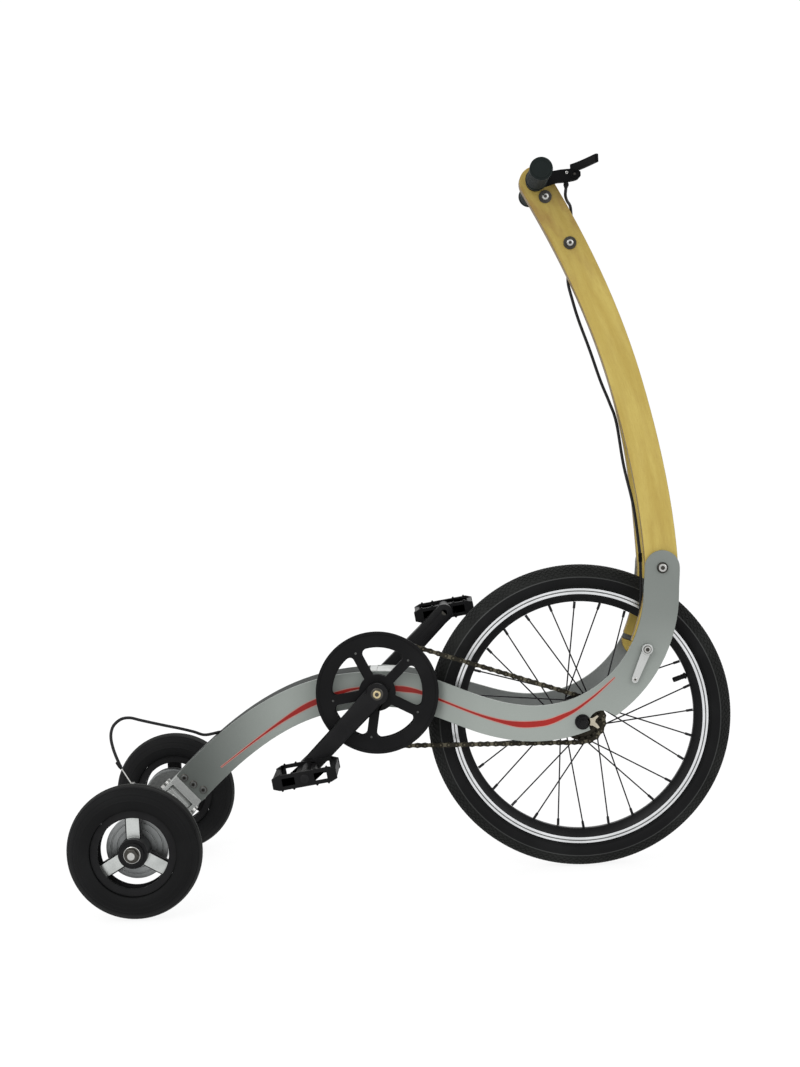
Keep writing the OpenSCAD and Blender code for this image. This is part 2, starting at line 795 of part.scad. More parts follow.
// Windows between the arms of a spider: rounded outside, narrow towards the hub
guard_rim = 25;
guard_arm_w = 16;
guard_hub_d = 60;
corner_r = 8;
throat_r = 14;
module spider_windows(outer_r) {
    half = 180 / guard_arms;
    side = guard_arm_w / 2 + corner_r;
    lean = half - asin(side / (outer_r - corner_r));
    throat = [(throat_r + guard_arm_w / 2) / sin(half), 0];
    corner = (outer_r - corner_r) * [cos(lean), sin(lean)];
    for (i = [0 : guard_arms - 1]) rotate(360 * i / guard_arms) polygon(concat(
        arc(throat, throat_r, 270 - half, 90 + half),
        arc(corner, corner_r, 90 + half, lean),
        arc([0, 0], outer_r, lean, -lean),
        arc([corner[0], -corner[1]], corner_r, -lean, -90 - half)
    ));
}
// The rings' windows: the crank arm lies over the middle of one
module on_crank() { translate(crank_at) rotate(crank_angle) children(); }
ring_rim = 8;
module chainring() {
    color(dark_grey) along_y(-chain_y - tooth_t / 2, -chain_y + tooth_t / 2) on_crank() difference() {
        union() {
            difference() {
                toothed(ring_teeth, ring_r);
                spider_windows(ring_r - chain_rise - tooth_h - ring_rim);
            }
            circle(d = guard_hub_d);
        }
        circle(d = spindle_d + 2 * fit_gap);
    }
}
guard_lip = 5;
guard_lip_h = 1;
module chain_guard() {
    color(black) {
        along_y(-guard_y - guard_t, -guard_y) on_crank() difference() {
            union() {
                difference() {
                    circle(d = guard_d, $fn = 128);
                    spider_windows(guard_d / 2 - guard_rim);
                }
                circle(d = guard_hub_d);
            }
            circle(d = spindle_d + 2 * fit_gap);
        }
        along_y(-guard_y - guard_t - guard_lip_h, -guard_y - guard_t) on_crank() difference() {
            circle(d = guard_d, $fn = 128);
            circle(d = guard_d - 2 * guard_lip, $fn = 128);
        }
    }
}
// One crank on the +Y side, its arm along the turned X axis
arm_root_r = 18;
arm_tip_r = 14.5;
arm_root_half = 16;
arm_tip_half = 13.5;
arm_fn = 32;
module crank(turn) {
    color(black) translate([crank_at[0], 0, crank_at[1]]) rotate([0, -turn, 0]) difference() {
        union() {
            hull() {
                bar_y([0, 0], arm_root_half, arm_root, arm_root + arm_t - arm_floor, $fn = arm_fn);
                bar_y([crank_len, 0], arm_tip_half, arm_tip, arm_tip + arm_tip_t, $fn = arm_fn);
            }
            bar_y([0, 0], arm_root_r, arm_root, arm_root + arm_t);
            bar_y([crank_len, 0], arm_tip_r, arm_tip, arm_tip + arm_tip_t);
        }
        bar_y([0, 0], spindle_d / 2 + fit_gap, 0, arm_root + arm_t - arm_floor);
        bar_y([crank_len, 0], pedal_axle_d / 2 + fit_gap, 0, fork_w);
    }
}
module crank_right() { other_side() crank(crank_angle); }
module crank_left() { crank(crank_angle + 180); }

function pedal_at(turn) = crank_at + crank_len * [cos(turn), sin(turn)];
pedal_gap = 5;
axle_collar = 3;
axle_short = 6;
pedal_in = arm_tip + arm_tip_t + pedal_gap;
pedal_end = pedal_in + pedal_w;
module pedal_axle(turn) {
    color(silver) {
        bar_y(pedal_at(turn), pedal_axle_d / 2, arm_tip, pedal_end - axle_short);
        bar_y(pedal_at(turn), pedal_axle_d / 2 + axle_collar, arm_tip + arm_tip_t, pedal_in - lay_gap);
    }
}
module pedal_axle_right() { other_side() pedal_axle(crank_angle); }
module pedal_axle_left() { pedal_axle(crank_angle + 180); }

// Cage pedal: two side plates with windows and toothed edges, bars at the ends, a barrel between
pedal_wall = 5;
pedal_nose = 10;
pedal_chin = 8;
pedal_bar = 9;
pedal_bar_h = 12;
pedal_barrel_r = 10;
pedal_core = 30;
tooth_xs = [-0.36, -0.18, 0.18, 0.36];
tooth_w = 4;
tooth_rise = 2;
window_len = 20;
window_h = 12;
window_x = 25.5;
module pedal_side() {
    half = pedal_len / 2;
    top = pedal_h / 2 - tooth_rise;
    difference() {
        union() {
            polygon([
                [-half, -pedal_chin], [pedal_nose - half, -top], [half - pedal_nose, -top],
                [half, -pedal_chin], [half, pedal_chin], [half - pedal_nose, top],
                [pedal_nose - half, top], [-half, pedal_chin]
            ]);
            for (x = tooth_xs, s = [0, 1]) mirror([0, s]) translate([x * pedal_len, top]) polygon([
                [-tooth_w / 2, -over], [-tooth_w / 2, 0], [-tooth_w / 4, tooth_rise],
                [tooth_w / 4, tooth_rise], [tooth_w / 2, 0], [tooth_w / 2, -over]
            ]);
        }
        for (s = [-1, 1]) translate([s * window_x - window_len / 2, -window_h / 2])
            square([window_len, window_h]);
    }
}
module pedal(turn) {
    at = pedal_at(turn);
    color(black) translate([at[0], 0, at[1]]) rotate([0, -pedal_tilt, 0]) difference() {
        union() {
            along_y(pedal_in, pedal_in + pedal_wall) pedal_side();
            along_y(pedal_end - pedal_wall, pedal_end) pedal_side();
            for (s = [0, 1]) mirror([s, 0, 0])
                translate([pedal_len / 2 - pedal_bar, pedal_in + over, -pedal_chin])
                    cube([pedal_bar - over, pedal_w - 2 * over, 2 * pedal_chin]);
            translate([-pedal_core / 2, pedal_in + over, -pedal_bar_h / 2])
                cube([pedal_core, pedal_w - 2 * over, pedal_bar_h]);
            bar_y([0, 0], pedal_barrel_r, pedal_in, pedal_end);
        }
        bar_y([0, 0], pedal_axle_d / 2 + run_gap, pedal_in - over, pedal_end - axle_short + over);
    }
}
module pedal_right() { other_side() pedal(crank_angle); }
module pedal_left() { pedal(crank_angle + 180); }

// Mast

leg_foot_angle = 68;
leg_angle = 92;
leg_top_angle = 118.7;
leg_foot_pull = 42;
leg_pull = 240;
leg_curves = [
    span(release_at, leg_foot_angle, leg_foot_pull, pivot_at, leg_angle, leg_foot_pull),
    span(pivot_at, leg_angle, leg_pull, bar_at, leg_top_angle, leg_pull)
];
leg_low_out = fork_in - lay_gap;
leg_spread_start = 8;
leg_spread_end = 300;
leg_spread_from = pivot_at[1] + leg_spread_start;
leg_spread_to = pivot_at[1] + leg_spread_end;
leg_top_out = leg_t + lay_gap / 3;
function leg_out(z) =
    let (t = smooth((z - leg_spread_from) / (leg_spread_to - leg_spread_from)))
    leg_low_out + (leg_top_out - leg_low_out) * t;
leg_zs = concat(
    [release_at[1] - leg_w_low],
    [for (i = [0 : flare_steps]) leg_spread_from + (leg_spread_to - leg_spread_from) * i / flare_steps],
    [bar_at[1] + leg_w_top]
);
module leg_outline() { strip(leg_curves, leg_w_low / 2, leg_w_top / 2, true); }
// The leg seen from the front, swept along X
module leg_sheet() {
    from = bar_at[0] - leg_w_top;
    to = pivot_at[0] + leg_w_low;
    translate([from, 0, 0]) rotate([90, 0, 90]) linear_extrude(to - from)
        polygon(concat(
            [for (z = leg_zs) [leg_out(z), z]],
            reversed([for (z = leg_zs) [leg_out(z) - leg_t, z]])
        ));
}
mast_bolt_d = 6;
upper_bolt = [15, -24];
lower_bolt = [52, -100];
mast_bolts_at = [bar_at + upper_bolt, bar_at + lower_bolt];
slot_turn = 20;
release_reach = norm(release_at - pivot_at);
release_dir = atan2(release_at[1] - pivot_at[1], release_at[0] - pivot_at[0]);
module leg() {
    color(honey) difference() {
        intersection() {
            along_y(-over, fork_y) leg_outline();
            leg_sheet();
        }
        bar_y(pivot_at, pivot_d / 2 + run_gap, -over, fork_y);
        bar_y(bar_at, bar_d / 2 + fit_gap, -over, fork_y);
        for (b = mast_bolts_at) bar_y(b, mast_bolt_d / 2 + fit_gap, -over, fork_y);
        // open slot that swings off the quick-release bolt
        translate([pivot_at[0], 0, pivot_at[1]]) along_y(0, fork_y) difference() {
            intersection() {
                circle(r = release_reach + release_d / 2 + lay_gap, $fn = 128);
                rotate(release_dir - slot_turn)
                    polygon(2 * release_reach * [[0, 0], [1, 0], [1, tan(slot_turn)]]);
            }
            circle(r = release_reach - release_d / 2 - lay_gap, $fn = 128);
        }
        bar_y(release_at, release_d / 2 + lay_gap, 0, fork_y);
    }
}
module leg_left() { leg(); }
module leg_right() { other_side() leg(); }

bar_inset = 4;
module handlebar() {
    color(silver) bar_y(bar_at, bar_d / 2, bar_inset - bar_len / 2, bar_len / 2 - bar_inset);
}
// Grip: a collar at each end and rings between them
grip_collar = 7;
grip_depth = 2.5;
grip_rings = 9;
ring_share = 0.6;
module grip() {
    end = bar_len / 2;
    pitch = (end - grip_in - 2 * grip_collar) / grip_rings;
    color(rubber) difference() {
        union() {
            bar_y(bar_at, grip_d / 2 - grip_depth, grip_in, end);
            bar_y(bar_at, grip_d / 2, grip_in, grip_in + grip_collar);
            bar_y(bar_at, grip_d / 2, end - grip_collar, end);
            for (i = [0 : grip_rings - 1])
                let (y = grip_in + grip_collar + (i + (1 - ring_share) / 2) * pitch)
                    bar_y(bar_at, (grip_d - grip_depth) / 2, y, y + ring_share * pitch);
        }
        bar_y(bar_at, bar_d / 2 + fit_gap, 0, end - bar_inset + fit_gap);
    }
}
module grip_left() { grip(); }
module grip_right() { other_side() grip(); }
washer_r = 10.5;
washer_t = 2;
head_r = 5.5;
head_h = 4;
module mast_bolts() {
    color(dark_grey) for (b = mast_bolts_at) {
        bar_y(b, mast_bolt_d / 2, -leg_top_out - washer_t, leg_top_out + washer_t);
        for (s = [0, 1]) mirror([0, s, 0]) {
            bar_y(b, washer_r, leg_top_out, leg_top_out + washer_t);
            bar_y(b, head_r, leg_top_out + washer_t, leg_top_out + washer_t + head_h);
        }
    }
}

// Brake lever on the right of the bar: clamp, body and blade
clamp_w = 20;
clamp_wall = 5;
clamp_gap = 6;
clamp_y = leg_top_out + clamp_gap;
lever_body = [
    [0, 13], [28, 14], [39, 15.5], [50, 16], [63, 16], [72, 11], [72, 4], [67, -1], [62, -2.5], [48, -4.5],
    [33, -5], [0, -14]
];
lever_pivot = [62, 7];
pivot_r = 7;
// The blade seen from above, from its pivot to its blunt tip, and its height and rise
blade_root = [59, 34];
blade_tip = [91, 112];
blade_half = 3.5;
blade_tip_half = 3;
blade_h = 13;
blade_low = 9;
blade_rise = 2.7;
module lever_blade() {
    translate([0, 0, blade_low]) rotate([blade_rise, 0, 0]) linear_extrude(blade_h)
        strip([span(blade_root, 60, 28, blade_tip, 70, 28)], blade_half, blade_tip_half, true);
}
module brake_lever() {
    color(black) other_side() translate([bar_at[0], 0, bar_at[1]]) difference() {
        union() {
            bar_y([0, 0], bar_d / 2 + clamp_wall, clamp_y, clamp_y + clamp_w);
            along_y(clamp_y + clamp_wall / 2, clamp_y + clamp_w - clamp_wall / 2) polygon(lever_body);
            bar_y(lever_pivot, pivot_r, clamp_y, clamp_y + clamp_w);
            lever_blade();
        }
        bar_y([0, 0], bar_d / 2 + fit_gap, 0, bar_len);
    }
}

// Brake cable: tubes swept along their routes
cable_sides = 8;
function ring_points(p, d, r, n) =
    let (
        side = cross(d, [0, 1, 0]),
        u = side / norm(side),
        v = cross(u, d) / norm(d)
    )
    [for (i = [0 : n - 1]) p + r * (cos(360 * i / n) * u + sin(360 * i / n) * v)];
// The last rings of a route may be bare wire
wire_d = 2;
module tube(route, d, bare = 0) {
    last = len(route) - 1;
    n = cable_sides;
    points = [
        for (i = [0 : last])
            let (r = (i > last - bare ? wire_d : d) / 2)
            each ring_points(route[i], route[min(last, i + 1)] - route[max(0, i - 1)], r, n)
    ];
    polyhedron(
        points = points,
        faces = concat(
            [[for (i = [0 : n - 1]) i]],
            [for (k = [0 : last - 1], i = [0 : n - 1])
                [k * n + i, (k + 1) * n + i, (k + 1) * n + (i + 1) % n, k * n + (i + 1) % n]],
            [[for (i = [n - 1 : -1 : 0]) last * n + i]]
        )
    );
}
// Smooth route through hand-set points
function route_point(p, k, t) =
    let (
        a = p[max(0, k - 1)], b = p[k], c = p[k + 1], d = p[min(len(p) - 1, k + 2)]
    )
    0.5 * (2 * b + (c - a) * t + (2 * a - 5 * b + 4 * c - d) * t * t + (3 * b - a - 3 * c + d) * t * t * t);
function route(p, steps) = concat(
    [for (k = [0 : len(p) - 2], i = [0 : steps - 1]) route_point(p, k, i / steps)],
    [p[len(p) - 1]]
);
function on_hub(p) = [for (q = p) [hub_x + q[0], q[1], front_r + q[2]]];

// Point inside the beam at a share of its first curve, off the middle line
function in_beam(t, y, w) =
    let (p = cubic(plate_curves[0], t) + w * left_of(slope(plate_curves[0], t)))
    [p[0], y, p[1]];

mast_cable = on_hub([
    [12, -31, 868.8], [11, -29, 860], [10.5, -20, 850], [14, -5, 843], [19.5, 9, 837], [21.5, 18, 828],
    [22, 25, 812], [20, 27, 790], [18, 27, 764], [15, 23.5, 738], [12, 19, 714], [17, 13, 686], [26, 8, 650],
    [42, 4, 600], [57, 2, 550], [70, 0, 514], [80, -4, 480], [88, -15, 410], [100, -32, 340], [106, -45, 262]
]);
cable_out = in_beam(0.19, exit_y, 31);
frame_cable = concat(
    on_hub([
        [106, -45, 258], [104, -46, 190], [94, -46, 110], [76, -53, 64], [46, -61, 40], [0, -62, 30],
        [-60, -62, 16], [-110, -62, 14], [-150, -58, 24], [-190, -46, 38], [-230, -32, 54], [-270, -22, 72],
        [-330, -14, 84]
    ]),
    [in_beam(0.7, -10, 14), in_beam(0.5, -10, 10), in_beam(0.34, -11, 10)],
    [in_beam(0.25, exit_y, 17), cable_out]
);
// Sleeve of the loop behind the beam, and the bare wire from its end to the brake arm
tail_loop = [
    [91, -28, 248], [75, -46, 257], [56, -64, 266], [34, -82, 275], [13, -100, 284], [-1, -111, 290],
    [-15, -122, 296], [-27, -132, 296], [-37, -142, 289], [-41, -149, 279], [-41, -154, 268],
    [-38, -158, 255], [-33, -163, 242], [-25, -168, 224]
];
wire_end = [-7.5, -176, 198];
tail_cable = concat(
    [cable_out + [-0.5, -0.3, 0.1]],
    [for (q = concat(tail_loop, [wire_end])) [rear_x + q[0], q[1], q[2]]]
);
route_steps = 4;
module brake_cable_mast() { color(black) tube(route(mast_cable, route_steps), cable_d); }
module brake_cable_frame() { color(black) tube(route(frame_cable, route_steps), cable_d); }
module brake_cable_tail() { color(black) tube(route(tail_cable, route_steps), cable_d, route_steps); }

plate_right();
plate_left();
beam_webs();
bearing_shell();
front_axle();
pivot_bolts();
quick_releases();
truck_base();
lean_pin();
chain();
brake_cable_frame();
leg_right();
leg_left();
handlebar();
grip_right();
grip_left();
mast_bolts();
brake_lever();
brake_cable_mast();
front_tyre();
front_rim();
front_spokes();
front_hub();
front_sprocket();
front_valve();
crank_spindle();
chainring();
chain_guard();
crank_right();
crank_left();
pedal_axle_right();
pedal_axle_left();
pedal_right();
pedal_left();
truck_hanger();
rear_axle();
brake_plates();
brake_cable_tail();
rear_tyre_right();
rear_wheel_right();
rear_drum_right();
rear_tyre_left();
rear_wheel_left();
rear_drum_left();
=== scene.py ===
"""Dresses the stand-up tricycle: finishes, tread, chain links, stripes, fasteners and cables.

Sizes and places are in millimetres, as in the part's source, and the helpers turn them into metres.
+X is forward, +Y the rider's left, +Z up. The right side faces the camera.
"""

import json
from math import asin, atan2, cos, hypot, pi, radians, sin

import bpy
from mathutils import Matrix, Vector
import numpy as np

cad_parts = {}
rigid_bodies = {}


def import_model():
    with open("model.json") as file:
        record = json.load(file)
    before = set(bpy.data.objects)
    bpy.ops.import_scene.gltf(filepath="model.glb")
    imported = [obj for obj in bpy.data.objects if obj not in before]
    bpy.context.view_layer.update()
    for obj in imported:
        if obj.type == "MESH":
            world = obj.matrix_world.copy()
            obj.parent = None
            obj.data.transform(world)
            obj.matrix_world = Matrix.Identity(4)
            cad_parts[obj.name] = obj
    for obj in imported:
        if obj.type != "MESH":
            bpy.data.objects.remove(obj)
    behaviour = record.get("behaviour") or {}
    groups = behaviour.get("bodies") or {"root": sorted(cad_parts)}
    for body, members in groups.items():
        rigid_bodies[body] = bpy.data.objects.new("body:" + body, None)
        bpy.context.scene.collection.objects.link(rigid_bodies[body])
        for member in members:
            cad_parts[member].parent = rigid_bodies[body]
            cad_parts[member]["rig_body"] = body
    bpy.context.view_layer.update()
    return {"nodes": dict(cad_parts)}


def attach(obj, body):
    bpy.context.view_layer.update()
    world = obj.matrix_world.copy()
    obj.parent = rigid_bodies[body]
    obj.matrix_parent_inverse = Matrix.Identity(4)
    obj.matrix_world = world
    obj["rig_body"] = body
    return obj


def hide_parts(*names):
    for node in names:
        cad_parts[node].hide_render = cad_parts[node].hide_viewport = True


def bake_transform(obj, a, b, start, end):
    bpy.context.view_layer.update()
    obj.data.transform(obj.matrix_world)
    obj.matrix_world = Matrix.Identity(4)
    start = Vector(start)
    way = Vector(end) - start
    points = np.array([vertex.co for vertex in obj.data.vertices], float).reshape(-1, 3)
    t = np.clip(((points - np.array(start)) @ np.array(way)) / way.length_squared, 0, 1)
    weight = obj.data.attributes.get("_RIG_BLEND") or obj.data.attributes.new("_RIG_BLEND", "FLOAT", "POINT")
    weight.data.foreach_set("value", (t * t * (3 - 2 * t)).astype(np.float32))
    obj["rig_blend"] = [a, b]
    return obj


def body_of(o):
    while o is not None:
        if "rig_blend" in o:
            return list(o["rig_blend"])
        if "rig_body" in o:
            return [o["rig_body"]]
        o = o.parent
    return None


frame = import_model()

MM = 0.001
ACROSS = Vector((0, 1, 0))
SIDES = {"right": -1, "left": 1}

# Main points of the tricycle

HUB = Vector((282.25, 0, 250))
REAR = Vector((-426.75, 0, 105.5))
CRANK = Vector((-47.75, 0, 310))
PIVOT = Vector((420.25, 0, 494))
RELEASE = Vector((390.25, 0, 364))
BAR = Vector((245.25, 0, 1124))
TAIL = Vector((-366.56, 0, 159.7))
TAIL_ANGLE = 42
CRANK_ANGLE = radians(224)
CRANK_LENGTH = 160

# Half widths over the side plates, their flare ahead of the crank, and planes of the rear wheels and chain

FORK_Y = 72
BEAM_Y = 40
TAIL_Y = 26
FLARE_AT = 70
FLARE_LENGTH = 110
REAR_Y = 231
CHAIN_Y = 52

# Thickness of a wooden leg and of one layer of it

LEG_THICK = 15
PLY = 3.75


# Modelling helpers


def along(angle, length):
    """A step of a length at an angle above the way ahead."""
    return length * Vector((cos(radians(angle)), 0, sin(radians(angle))))


def off_axis(spot, centre):
    """Distance from an axis across the tricycle through a centre."""
    return hypot(spot.x - centre.x, spot.z - centre.z)


def cubic(points, t):
    """Point on a curve with four handles."""
    a, b, c, d = points
    return (1 - t) ** 3 * a + 3 * t * (1 - t) ** 2 * b + 3 * t * t * (1 - t) * c + t**3 * d


def alone(obj):
    """Select one object and nothing else."""
    bpy.ops.object.select_all(action="DESELECT")
    obj.select_set(True)
    bpy.context.view_layer.objects.active = obj


def edit(obj):
    """Open one object in edit mode, all of it selected."""
    alone(obj)
    bpy.ops.object.mode_set(mode="EDIT")
    bpy.ops.mesh.select_all(action="SELECT")


def close():
    """Leave edit mode."""
    bpy.ops.object.mode_set(mode="OBJECT")


def tidy_faces():
    """Merge doubles and turn every face outwards, in edit mode."""
    bpy.ops.mesh.select_all(action="SELECT")
    bpy.ops.mesh.remove_doubles(threshold=0.001 * MM)
    bpy.ops.mesh.normals_make_consistent(inside=False)


def apply(obj, kind, **settings):
    """Add a modifier and apply it."""
    modifier = obj.modifiers.new(kind, kind)
    for key, value in settings.items():
        setattr(modifier, key, value)
    alone(obj)
    bpy.ops.object.modifier_apply(modifier=modifier.name)


def soften(obj, edge, angle=30, segments=2):
    """Round the sharp edges and shade the rest smooth."""
    apply(
        obj,
        "BEVEL",
        width=edge * MM,
        segments=segments,
        limit_method="ANGLE",
        angle_limit=radians(angle),
        use_clamp_overlap=False,
    )
    bpy.ops.object.shade_smooth_by_angle(angle=radians(angle))
    apply(obj, "WEIGHTED_NORMAL", keep_sharp=True)


def joined(name, pieces):
    """Join pieces into one object."""
    bpy.ops.object.select_all(action="DESELECT")
    for piece in pieces:
        piece.select_set(True)
    bpy.context.view_layer.objects.active = pieces[0]
    bpy.ops.object.join()
    pieces[0].name = name
    return pieces[0]


def copied(obj, matrix):
    """A copy with its own mesh, moved by a matrix in millimetres."""
    twin = obj.copy()
    twin.data = obj.data.copy()
    place = matrix.copy()
    place.translation *= MM
    twin.data.transform(place)
    bpy.context.scene.collection.objects.link(twin)
    return twin


def wire(name, points):
    """A chain of edges through points, left open in edit mode with all of it selected."""
    bpy.ops.object.select_all(action="DESELECT")
    bpy.ops.mesh.primitive_plane_add(size=0.01)
    obj = bpy.context.object
    obj.name = name
    bpy.ops.object.mode_set(mode="EDIT")
    bpy.ops.mesh.merge(type="CENTER")
    bpy.ops.transform.translate(value=points[0] * MM)
    for here, there in zip(points, points[1:]):
        bpy.ops.mesh.extrude_vertices_move(TRANSFORM_OT_translate={"value": (there - here) * MM})
    bpy.ops.mesh.select_all(action="SELECT")
    return obj


def turned(name, profile, centre, axis=ACROSS, steps=64, towards=None):
    """A turned piece: (radius, distance along the axis) points spun about an axis through a centre."""
    out = (towards or axis.orthogonal()).normalized()
    obj = wire(name, [centre + out * radius + axis * reach for radius, reach in profile])
    bpy.ops.mesh.spin(steps=steps, angle=2 * pi, center=centre * MM, axis=axis)
    tidy_faces()
    close()
    return obj


def slab(name, outline, y0, y1):
    """A flat outline of (X, Z) points given a thickness along Y."""
    obj = wire(name, [Vector((x, y0, z)) for x, z in outline])
    bpy.ops.mesh.edge_face_add()
    bpy.ops.mesh.extrude_region_move(TRANSFORM_OT_translate={"value": ACROSS * (y1 - y0) * MM})
    tidy_faces()
    close()
    return obj


def tube(name, points, radius):
    """A round tube along points."""
    curve = bpy.data.curves.new(name, "CURVE")
    curve.dimensions = "3D"
    curve.bevel_depth = radius * MM
    curve.bevel_resolution = 3
    curve.use_fill_caps = True
    spline = curve.splines.new("POLY")
    spline.points.add(len(points) - 1)
    for knot, place in zip(spline.points, points):
        knot.co = (*(place * MM), 1)
    obj = bpy.data.objects.new(name, curve)
    bpy.context.scene.collection.objects.link(obj)
    alone(obj)
    bpy.ops.object.convert(target="MESH")
    return bpy.context.object


def smooth_route(points, steps):
    """Points on a smooth curve through given ones."""
    route = []
    for k in range(len(points) - 1):
        a, b, c = points[max(0, k - 1)], points[k], points[k + 1]
        d = points[min(len(points) - 1, k + 2)]
        for i in range(steps):
            t = i / steps
            bend = (2 * a - 5 * b + 4 * c - d) * t * t + (3 * b - a - 3 * c + d) * t**3
            route.append(0.5 * (2 * b + (c - a) * t + bend))
    return route + [points[-1]]


def ease(t):
    """Smooth step from 0 to 1."""
    t = min(1, max(0, t))
    return t * t * (3 - 2 * t)


def ring(obj, centre, count):
    """Repeat all of a piece round an axis across the tricycle."""
    edit(obj)
    share = (count - 1) / count
    bpy.ops.mesh.spin(
        steps=count - 1, dupli=True, angle=2 * pi * share, center=centre * MM, axis=ACROSS
    )
    close()


# Finishes


class Value:
    """An output of a shader node; arithmetic on it adds Math nodes."""

    def __init__(self, tree, socket):
        self.tree = tree
        self.socket = socket

    def math(self, operation, *operands):
        node = self.tree.nodes.new("ShaderNodeMath")
        node.operation = operation
        for socket, operand in zip(node.inputs, operands):
            put(self.tree, socket, operand)
        return Value(self.tree, node.outputs[0])

    def __add__(self, other):
        return self.math("ADD", self, other)

    __radd__ = __add__

    def __sub__(self, other):
        return self.math("SUBTRACT", self, other)

    def __mul__(self, other):
        return self.math("MULTIPLY", self, other)

    __rmul__ = __mul__

    def __abs__(self):
        return self.math("ABSOLUTE", self)

    def root(self):
        return self.math("SQRT", self)

    def wave(self):
        """Cosine, moved to run from 0 to 1."""
        return 0.5 + 0.5 * self.math("COSINE", self)


def put(tree, socket, value):
    """Link an output into a socket, or set its number."""
    if isinstance(value, Value):
        tree.links.new(value.socket, socket)
    else:
        socket.default_value = value


class Finish:
    """A material on one Principled shader."""

    def __init__(self, name, **fixed):
        self.material = bpy.data.materials.new(name)
        self.material.use_nodes = True
        self.tree = self.material.node_tree
        self.shader = self.tree.nodes["Principled BSDF"]
        for key, value in fixed.items():
            self.shader.inputs[key.replace("_", " ")].default_value = value
        self.place = self.add("ShaderNodeTexCoord", {}, {}, "Object")

    def add(self, kind, settings, sockets, output=0):
        """Add a node, set it up, fill its sockets and give back one of its outputs."""
        node = self.tree.nodes.new(kind)
        for key, value in settings.items():
            setattr(node, key, value)
        for key, value in sockets.items():
            put(self.tree, node.inputs[key], value)
        return Value(self.tree, node.outputs[output])

    def feed(self, socket, value):
        put(self.tree, self.shader.inputs[socket], value)

    def noise(self, scale, detail=3, vector=None):
        sockets = {"Vector": vector or self.place, "Scale": scale, "Detail": detail}
        return self.add("ShaderNodeTexNoise", {}, sockets, "Fac")

    def moved(self, vector, scale=(1, 1, 1), centre=(0, 0, 0)):
        """Coordinates counted from a centre, in millimetres, and stretched."""
        shift = [-MM * c * s for c, s in zip(centre, scale)]
        return self.add("ShaderNodeMapping", {}, {"Vector": vector, "Location": shift, "Scale": scale})

    def parts(self, vector):
        """The three numbers of a vector."""
        node = self.tree.nodes.new("ShaderNodeSeparateXYZ")
        put(self.tree, node.inputs[0], vector)
        return [Value(self.tree, out) for out in node.outputs]

    def ramp(self, value, low, high):
        """Smooth step of a value between two edges."""
        settings = {"interpolation_type": "SMOOTHSTEP"}
        return self.add("ShaderNodeMapRange", settings, {0: value, 1: low, 2: high})

    def mix(self, share, a, b):
        """Colour between two colours."""
        return self.add("ShaderNodeMix", {"data_type": "RGBA"}, {0: share, 6: a, 7: b}, 2)

    def relief(self, height, depth, strength=1.0):
        """Bump from a height, its depth in millimetres."""
        sockets = {"Strength": strength, "Distance": depth * MM, "Height": height}
        self.feed("Normal", self.add("ShaderNodeBump", {}, sockets))


def rgb(r, g, b):
    return (r, g, b, 1)


def lacquer(name, light, dark, rough, metallic, specular, painted_shade=0.0):
    """Sprayed satin paint: faint clouds, orange peel and tiny flakes, with painted shade that can darken it
    towards the tail and higher up.
    """
    finish = Finish(name, Metallic=metallic, Specular_IOR_Level=specular)
    cloud = finish.noise(6, 2)
    flake = finish.noise(2600, 1)
    peel = finish.noise(420, 2)
    share = finish.ramp(cloud, 0.3, 0.7) * 0.6 + finish.ramp(flake, 0.4, 0.75) * 0.4
    colour = finish.mix(share, light, dark)
    # Painted shade: darker from X -0.18 m back to -0.38 m at the tail, and half as much from Z 0.26 m up to
    # 0.44 m.
    if painted_shade:
        x, _, z = finish.parts(finish.place)
        shade_film = finish.ramp(x, -0.18, -0.38) + 0.5 * finish.ramp(z, 0.26, 0.44)
        colour = finish.mix(painted_shade * shade_film, colour, rgb(0.012, 0.015, 0.014))
    finish.feed("Base Color", colour)
    finish.feed("Roughness", rough + 0.12 * (cloud - 0.5) + 0.1 * (flake - 0.5))
    finish.relief(peel, 0.06, 0.5)
    return finish


def moulded(name, light, dark, rough, grain, depth, specular=0.35):
    """Moulded plastic or rubber with a fine surface grain and dusty patches."""
    finish = Finish(name, Specular_IOR_Level=specular)
    patch = finish.noise(14, 4)
    pebble = finish.noise(grain, 3)
    share = finish.ramp(patch, 0.4, 0.75) * 0.7 + pebble * 0.3
    finish.feed("Base Color", finish.mix(share, dark, light))
    finish.feed("Roughness", rough + 0.2 * (patch - 0.5) + 0.1 * (pebble - 0.5))
    finish.relief(pebble, depth, 0.6)
    return finish


def metal(name, light, dark, rough, grain=900, depth=0.02, metallic=1.0, specular=0.5):
    """Bare, plated or black metal with a fine grain and handling marks."""
    finish = Finish(name, Metallic=metallic, Specular_IOR_Level=specular)
    haze = finish.noise(30, 4)
    fine = finish.noise(grain, 2)
    share = finish.ramp(haze, 0.35, 0.7) * 0.6 + finish.ramp(fine, 0.35, 0.7) * 0.4
    finish.feed("Base Color", finish.mix(share, light, dark))
    finish.feed("Roughness", rough + 0.25 * (haze - 0.5) + 0.15 * (fine - 0.5))
    finish.relief(fine, depth, 0.5)
    return finish


def lathe_marks(name, centre, light, dark, rough, pitch):
    """Turned metal: fine rings about an axis across the tricycle."""
    finish = Finish(name, Metallic=1.0)
    x, _, z = finish.parts(finish.moved(finish.place, centre=centre))
    radius = (x * x + z * z).root()
    lines = (radius * (2 * pi / (pitch * MM)) + 3 * finish.noise(60, 2)).wave()
    haze = finish.noise(24, 3)
    finish.feed("Base Color", finish.mix(lines * 0.5 + finish.ramp(haze, 0.3, 0.7) * 0.5, light, dark))
    finish.feed("Roughness", rough + 0.18 * (haze - 0.5) + 0.08 * lines)
    finish.relief(lines, 0.05, 0.5)
    return finish


